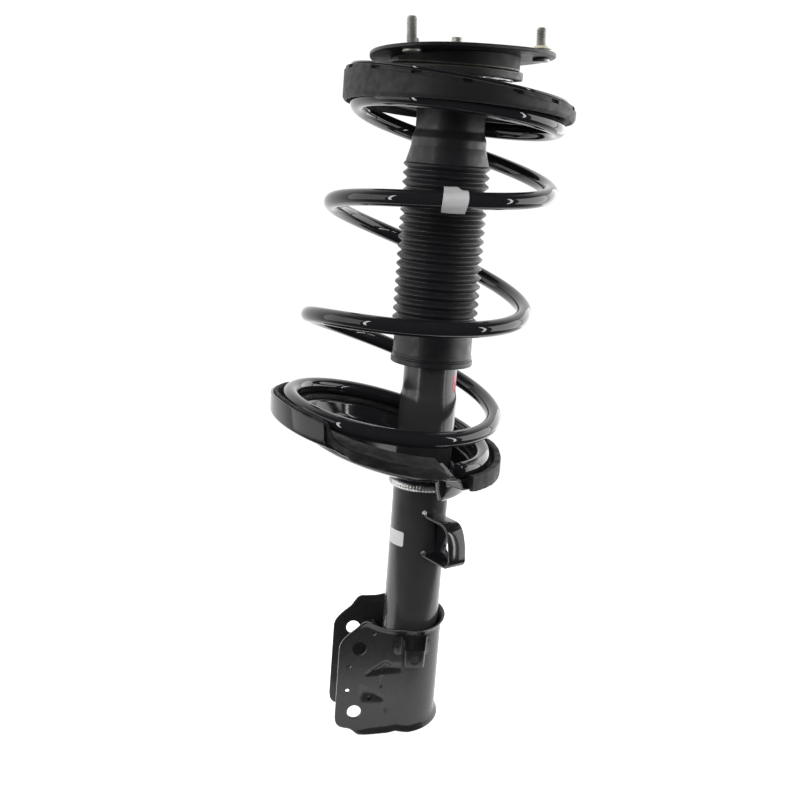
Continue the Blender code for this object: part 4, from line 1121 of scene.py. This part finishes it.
def make_hose_bracket():
    half = 0.0085
    back_r = BARREL_BORE + 0.0030 + GAP + 0.0007
    wing_y = -EAR_Y - 0.0012
    face = HOSE_FACE_Y + 0.0008
    left = [Vector((-0.0175, wing_y)), Vector((-0.0105, wing_y - 0.0005)),
            Vector((HOSE_X - half + 0.0006, face))]
    wing = [polar(AXIS, back_r, d, 0.0) for d in (-68.5, -60.0)]
    corners = left + [Vector((HOSE_X + half - 0.0006, face))]
    corners += [Vector((p.x, p.y)) for p in wing]
    path = rounded(corners, [0.0, 0.0022, 0.0022, 0.0022, 0.0018, 0.0], 6, closed=False)
    dense = []
    for a, b in zip(path, path[1:]):
        parts = max(1, int((b - a).length / 0.0009))
        dense += [a.lerp(b, s / parts) for s in range(parts)]
    dense.append(path[-1])
    loops = []
    for i, at in enumerate(dense):
        out = outward(dense, i)
        raised = ease(-at.y, -wing_y + 0.0015, -face - 0.0010)
        low = 0.0770 * (1.0 - raised) + 0.0705 * raised
        high = 0.0940 * (1.0 - raised) + 0.0856 * raised
        from_tip = min(i, len(dense) - 1 - i) * 0.0009
        corner = 0.0030 * (1.0 - min(from_tip / 0.0030, 1.0)) ** 2
        p = at + out * 0.0006
        q = at - out * 0.0006
        loop = [Vector((p.x, p.y, low + corner)), Vector((p.x, p.y, high - corner)),
                Vector((q.x, q.y, high - corner)), Vector((q.x, q.y, low + corner))]
        loops.append(rounded(loop, 0.0004, 2))
    hat = add_piece("hose_clip_bracket", swept_mesh(loops, False), MATS["satin"], "strut_body",
                    ["hose_bracket"], 45.0)
    hole = cylinder(HOSE_HOLE_R, 0.008, 40)
    hole.transform(Matrix.Rotation(math.pi / 2, 4, "X"))
    hole.transform(Matrix.Translation((HOSE_X, HOSE_FACE_Y, HOSE_HOLE_Z)))
    dimple = bmesh.new()
    bmesh.ops.create_uvsphere(dimple, u_segments=24, v_segments=16, radius=0.0014)
    dimple.transform(Matrix.Translation((-0.0141, wing_y - 0.0014, 0.0852)))
    cut(hat, [cutter("hose_cut_0", hole, MATS["satin"]),
              cutter("hose_cut_1", dimple, MATS["satin"])])


def outline_prism(outline, origin, along, inward, depths, fillets, steps=5):
    path = rounded([Vector(p) for p in outline], fillets, steps)
    loops = []
    for depth in depths:
        loop = []
        for p in path:
            at = origin + along * p.x + inward * depth
            loop.append(Vector((at.x, at.y, p.y)))
        loops.append(loop)
    return swept_mesh(loops, False)


def make_link_bracket():
    """A stamped cup welded to the tube, with a hole through its back plate."""
    turn = math.radians(LINK_DEG)
    along = Vector((math.cos(turn), math.sin(turn), 0.0))
    inward = Vector((-along.y, along.x, 0.0))
    start = Vector((LINK_START[0], LINK_START[1], 0.0))
    corners = [0.0, 0.0030, 0.0040, 0.0060, 0.0050, 0.0040, 0.0]
    bm = outline_prism(LINK_OUTLINE, start, along, inward, (0.0, LINK_DEPTH), corners)
    bracket = add_piece("link_cup", bm, MATS["seat"], "strut_body", ["link_bracket"])
    centre = Vector((0.010, 0.186))
    pocket = []
    for a, z in LINK_OUTLINE:
        p = Vector((a, z))
        p += (centre - p).normalized() * 0.0030
        pocket.append((p.x - (0.02 if a < 0.0 else 0.0), p.y))
    room = outline_prism(pocket, start - inward * 0.01, along, inward,
                         (0.0, 0.01 + LINK_DEPTH - 0.0026), [0.0, 0.0022, 0.003, 0.005, 0.004,
                                                             0.003, 0.0])
    tube = solid_mesh([(0.0, 0.15), (TUBE_R + GAP + 0.0002, 0.15),
                       (TUBE_R + GAP + 0.0002, 0.22), (0.0, 0.22)], 0.0, 96)
    hole = cylinder(LINK_HOLE_R, 0.012, 48)
    hole.transform(inward.to_track_quat("Z", "Y").to_matrix().to_4x4())
    at = start + along * LINK_HOLE[0] + inward * LINK_DEPTH
    hole.transform(Matrix.Translation((at.x, at.y, LINK_HOLE[1])))
    tools = [cutter("link_room", room, MATS["satin"]), cutter("link_tube", tube, MATS["satin"]),
             cutter("link_hole", hole, MATS["satin"])]
    cut(bracket, tools, 0.0007, 3, 50.0)


def make_link_welds():
    """Rough blobs of weld where the cup's upper and lower walls meet the tube."""
    for number, (z, size) in enumerate(((0.2042, 0.0021), (0.1690, 0.0021)), start=1):
        blob = bmesh.new()
        bmesh.ops.create_icosphere(blob, subdivisions=4, radius=size)
        at = polar(AXIS, TUBE_R, -95.0 + 5.0 * number, z)
        for v in blob.verts:
            rough = 1.0 + 0.45 * noise.noise(v.co * 620.0 + Vector((number, 0.0, 0.0)))
            v.co = v.co * rough
            v.co.y *= 0.55
            v.co.z *= 1.25
            v.co += at
        add_piece("link_weld_%d" % number, blob, MATS["weld"], "strut_body", (), 60.0)


# ---------------------------------------------------------------- small details

def make_details():
    curved_label("tube_label", (-185.0, -129.0), (0.1722, 0.1852), TUBE_R, MATS["paper"],
                 "strut_body", 24)
    curved_label("neck_sticker", (-40.0, -10.0), (0.3080, 0.3230), NECK_R, MATS["red"],
                 "strut_body", 16)
    weld_bead("hub_weld", TUBE_R + 0.0014, 0.2270, 0.0034, MATS["weld"], 64, lean=0.0006)
    make_link_welds()


def finish_hidden_nodes():
    """Better finishes for the inner pieces that keep their CAD shape."""
    looks = {"pressure_tube": "steel", "base_valve": "steel", "rod_guide": "sinter",
             "oil_seal": "seal", "piston": "sinter", "piston_band": "band",
             "piston_nut": "steel", "rebound_stop": "seal", "bearing_balls": "steel"}
    for node, look in looks.items():
        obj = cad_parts[node]
        for slot in obj.material_slots:
            slot.material = MATS[look]


# ---------------------------------------------------------------- camera, light and floor

def make_camera():
    focal_px, width_px, sensor = 1250.0, 800.0, 36.0
    pitch = math.radians(12.2)
    roll = math.radians(4.38)
    around = math.radians(-11.0)
    distance, height, centre_px = 1.041, 0.509, 428.5
    place = Vector((math.sin(around) * distance, -math.cos(around) * distance, height))
    turn = math.atan((centre_px - width_px / 2) / focal_px)
    ahead = Matrix.Rotation(turn, 3, "Z") @ Vector((-math.sin(around), math.cos(around), 0.0))
    right = ahead.cross(Vector((0.0, 0.0, 1.0)))
    look = ahead * math.cos(pitch) - Vector((0.0, 0.0, 1.0)) * math.sin(pitch)
    up = right.cross(look)
    x_axis = right * math.cos(roll) + up * math.sin(roll)
    y_axis = up * math.cos(roll) - right * math.sin(roll)
    data = bpy.data.cameras.new("view_camera")
    data.sensor_width = sensor
    data.lens = focal_px * sensor / width_px
    data.clip_start = 0.05
    data.clip_end = 60.0
    camera = bpy.data.objects.new("view_camera", data)
    matrix = Matrix((x_axis, y_axis, -look)).transposed().to_4x4()
    matrix.translation = place
    camera.matrix_world = matrix
    bpy.context.scene.collection.objects.link(camera)
    bpy.context.scene.camera = camera


ROOM_Y = (-0.05, 0.70)           # the room goes from dark to bright between these directions
ROOM_STRENGTH = (0.05, 1.30)
BACKDROP_STRENGTH = 1.05         # what is seen directly behind the part
FLOOR_R = 0.46
FLOOR_Y = 0.30
FLOOR_GLOW = 0.85


def make_world():
    """A pale room that is white all round to look at and darkest on the -Y side in reflections."""
    world = bpy.data.worlds.new("studio")
    bpy.context.scene.world = world
    world.use_nodes = True
    tree = world.node_tree
    nodes = tree.nodes
    links = tree.links
    background = nodes["Background"]
    place = nodes.new("ShaderNodeTexCoord")
    split = nodes.new("ShaderNodeSeparateXYZ")
    links.new(place.outputs["Generated"], split.inputs["Vector"])
    ramp = nodes.new("ShaderNodeMapRange")
    ramp.interpolation_type = "SMOOTHSTEP"
    ramp.inputs["From Min"].default_value, ramp.inputs["From Max"].default_value = ROOM_Y
    ramp.inputs["To Min"].default_value, ramp.inputs["To Max"].default_value = ROOM_STRENGTH
    links.new(split.outputs["Y"], ramp.inputs["Value"])
    path = nodes.new("ShaderNodeLightPath")
    mix = nodes.new("ShaderNodeMix")
    mix.data_type = "FLOAT"
    mix.inputs[3].default_value = BACKDROP_STRENGTH
    links.new(path.outputs["Is Camera Ray"], mix.inputs["Factor"])
    links.new(ramp.outputs["Result"], mix.inputs[2])
    links.new(mix.outputs[0], background.inputs["Strength"])
    background.inputs["Color"].default_value = (1.0, 1.0, 1.0, 1.0)


def area_light(name, place, target, size, power, shows=True):
    data = bpy.data.lights.new(name, "AREA")
    data.shape = "RECTANGLE"
    data.size, data.size_y = size
    data.energy = power
    light = bpy.data.objects.new(name, data)
    light.location = place
    light.visible_glossy = shows
    away = Vector(place) - Vector(target)
    light.rotation_euler = away.to_track_quat("Z", "Y").to_euler()
    bpy.context.scene.collection.objects.link(light)


def make_lights():
    middle = (0.0, 0.0, 0.30)
    area_light("left_panel", (-1.30, -0.10, 0.45), middle, (1.10, 1.20), 6.0)
    area_light("right_panel", (1.30, 0.0, 0.45), middle, (1.10, 1.20), 12.0)
    area_light("right_rim", (1.10, 0.95, 0.40), middle, (0.80, 1.20), 5.0)
    area_light("left_strip", (-1.00, -0.62, 0.50), middle, (0.06, 1.10), 2.6)
    area_light("right_strip", (1.00, -0.62, 0.50), middle, (0.06, 1.10), 2.4)
    area_light("front_fill", (-0.40, -1.50, 1.10), middle, (1.2, 1.0), 14.0, False)
    area_light("top_fill", (0.0, 0.10, 1.90), middle, (1.0, 0.8), 8.0, False)


def make_floor():
    """A plain pale round floor under the bracket's lowest point."""
    bm = bmesh.new()
    bmesh.ops.create_circle(bm, cap_ends=True, segments=96, radius=FLOOR_R)
    mesh = bpy.data.meshes.new("pale_floor")
    bm.to_mesh(mesh)
    bm.free()
    floor = bpy.data.objects.new("pale_floor", mesh)
    floor.location = (0.0, FLOOR_Y, cad_box[0].z - 0.0005)
    bpy.context.scene.collection.objects.link(floor)
    f = Finish("pale_floor")
    f.colour(f.mix(f.ramp(f.noise(2.2), (0.3, 0.7), (0.0, 1.0)), (0.86, 0.86, 0.86),
                   (0.88, 0.88, 0.88)))
    f.roughness(f.ramp(f.noise(30.0), (0.3, 0.7), (0.62, 0.72)))
    f.bump([(f.noise(300.0), 0.00003)])
    f.shader.inputs["Emission Color"].default_value = (1.0, 1.0, 1.0, 1.0)
    f.shader.inputs["Emission Strength"].default_value = FLOOR_GLOW
    mesh.materials.append(f.mat)


make_camera()
make_world()
make_lights()
make_floor()
make_tube()
make_rod()
make_spring()
make_wire_tag()
make_lower_seat()
make_lower_pad()
make_upper_seat()
make_boot()
make_bearing()
make_mount()
make_studs()
make_knuckle()
make_reinforcement()
make_hose_bracket()
make_link_bracket()
make_details()
finish_hidden_nodes()
bpy.context.scene.view_settings.view_transform = "Standard"

bpy.context.view_layer.update()
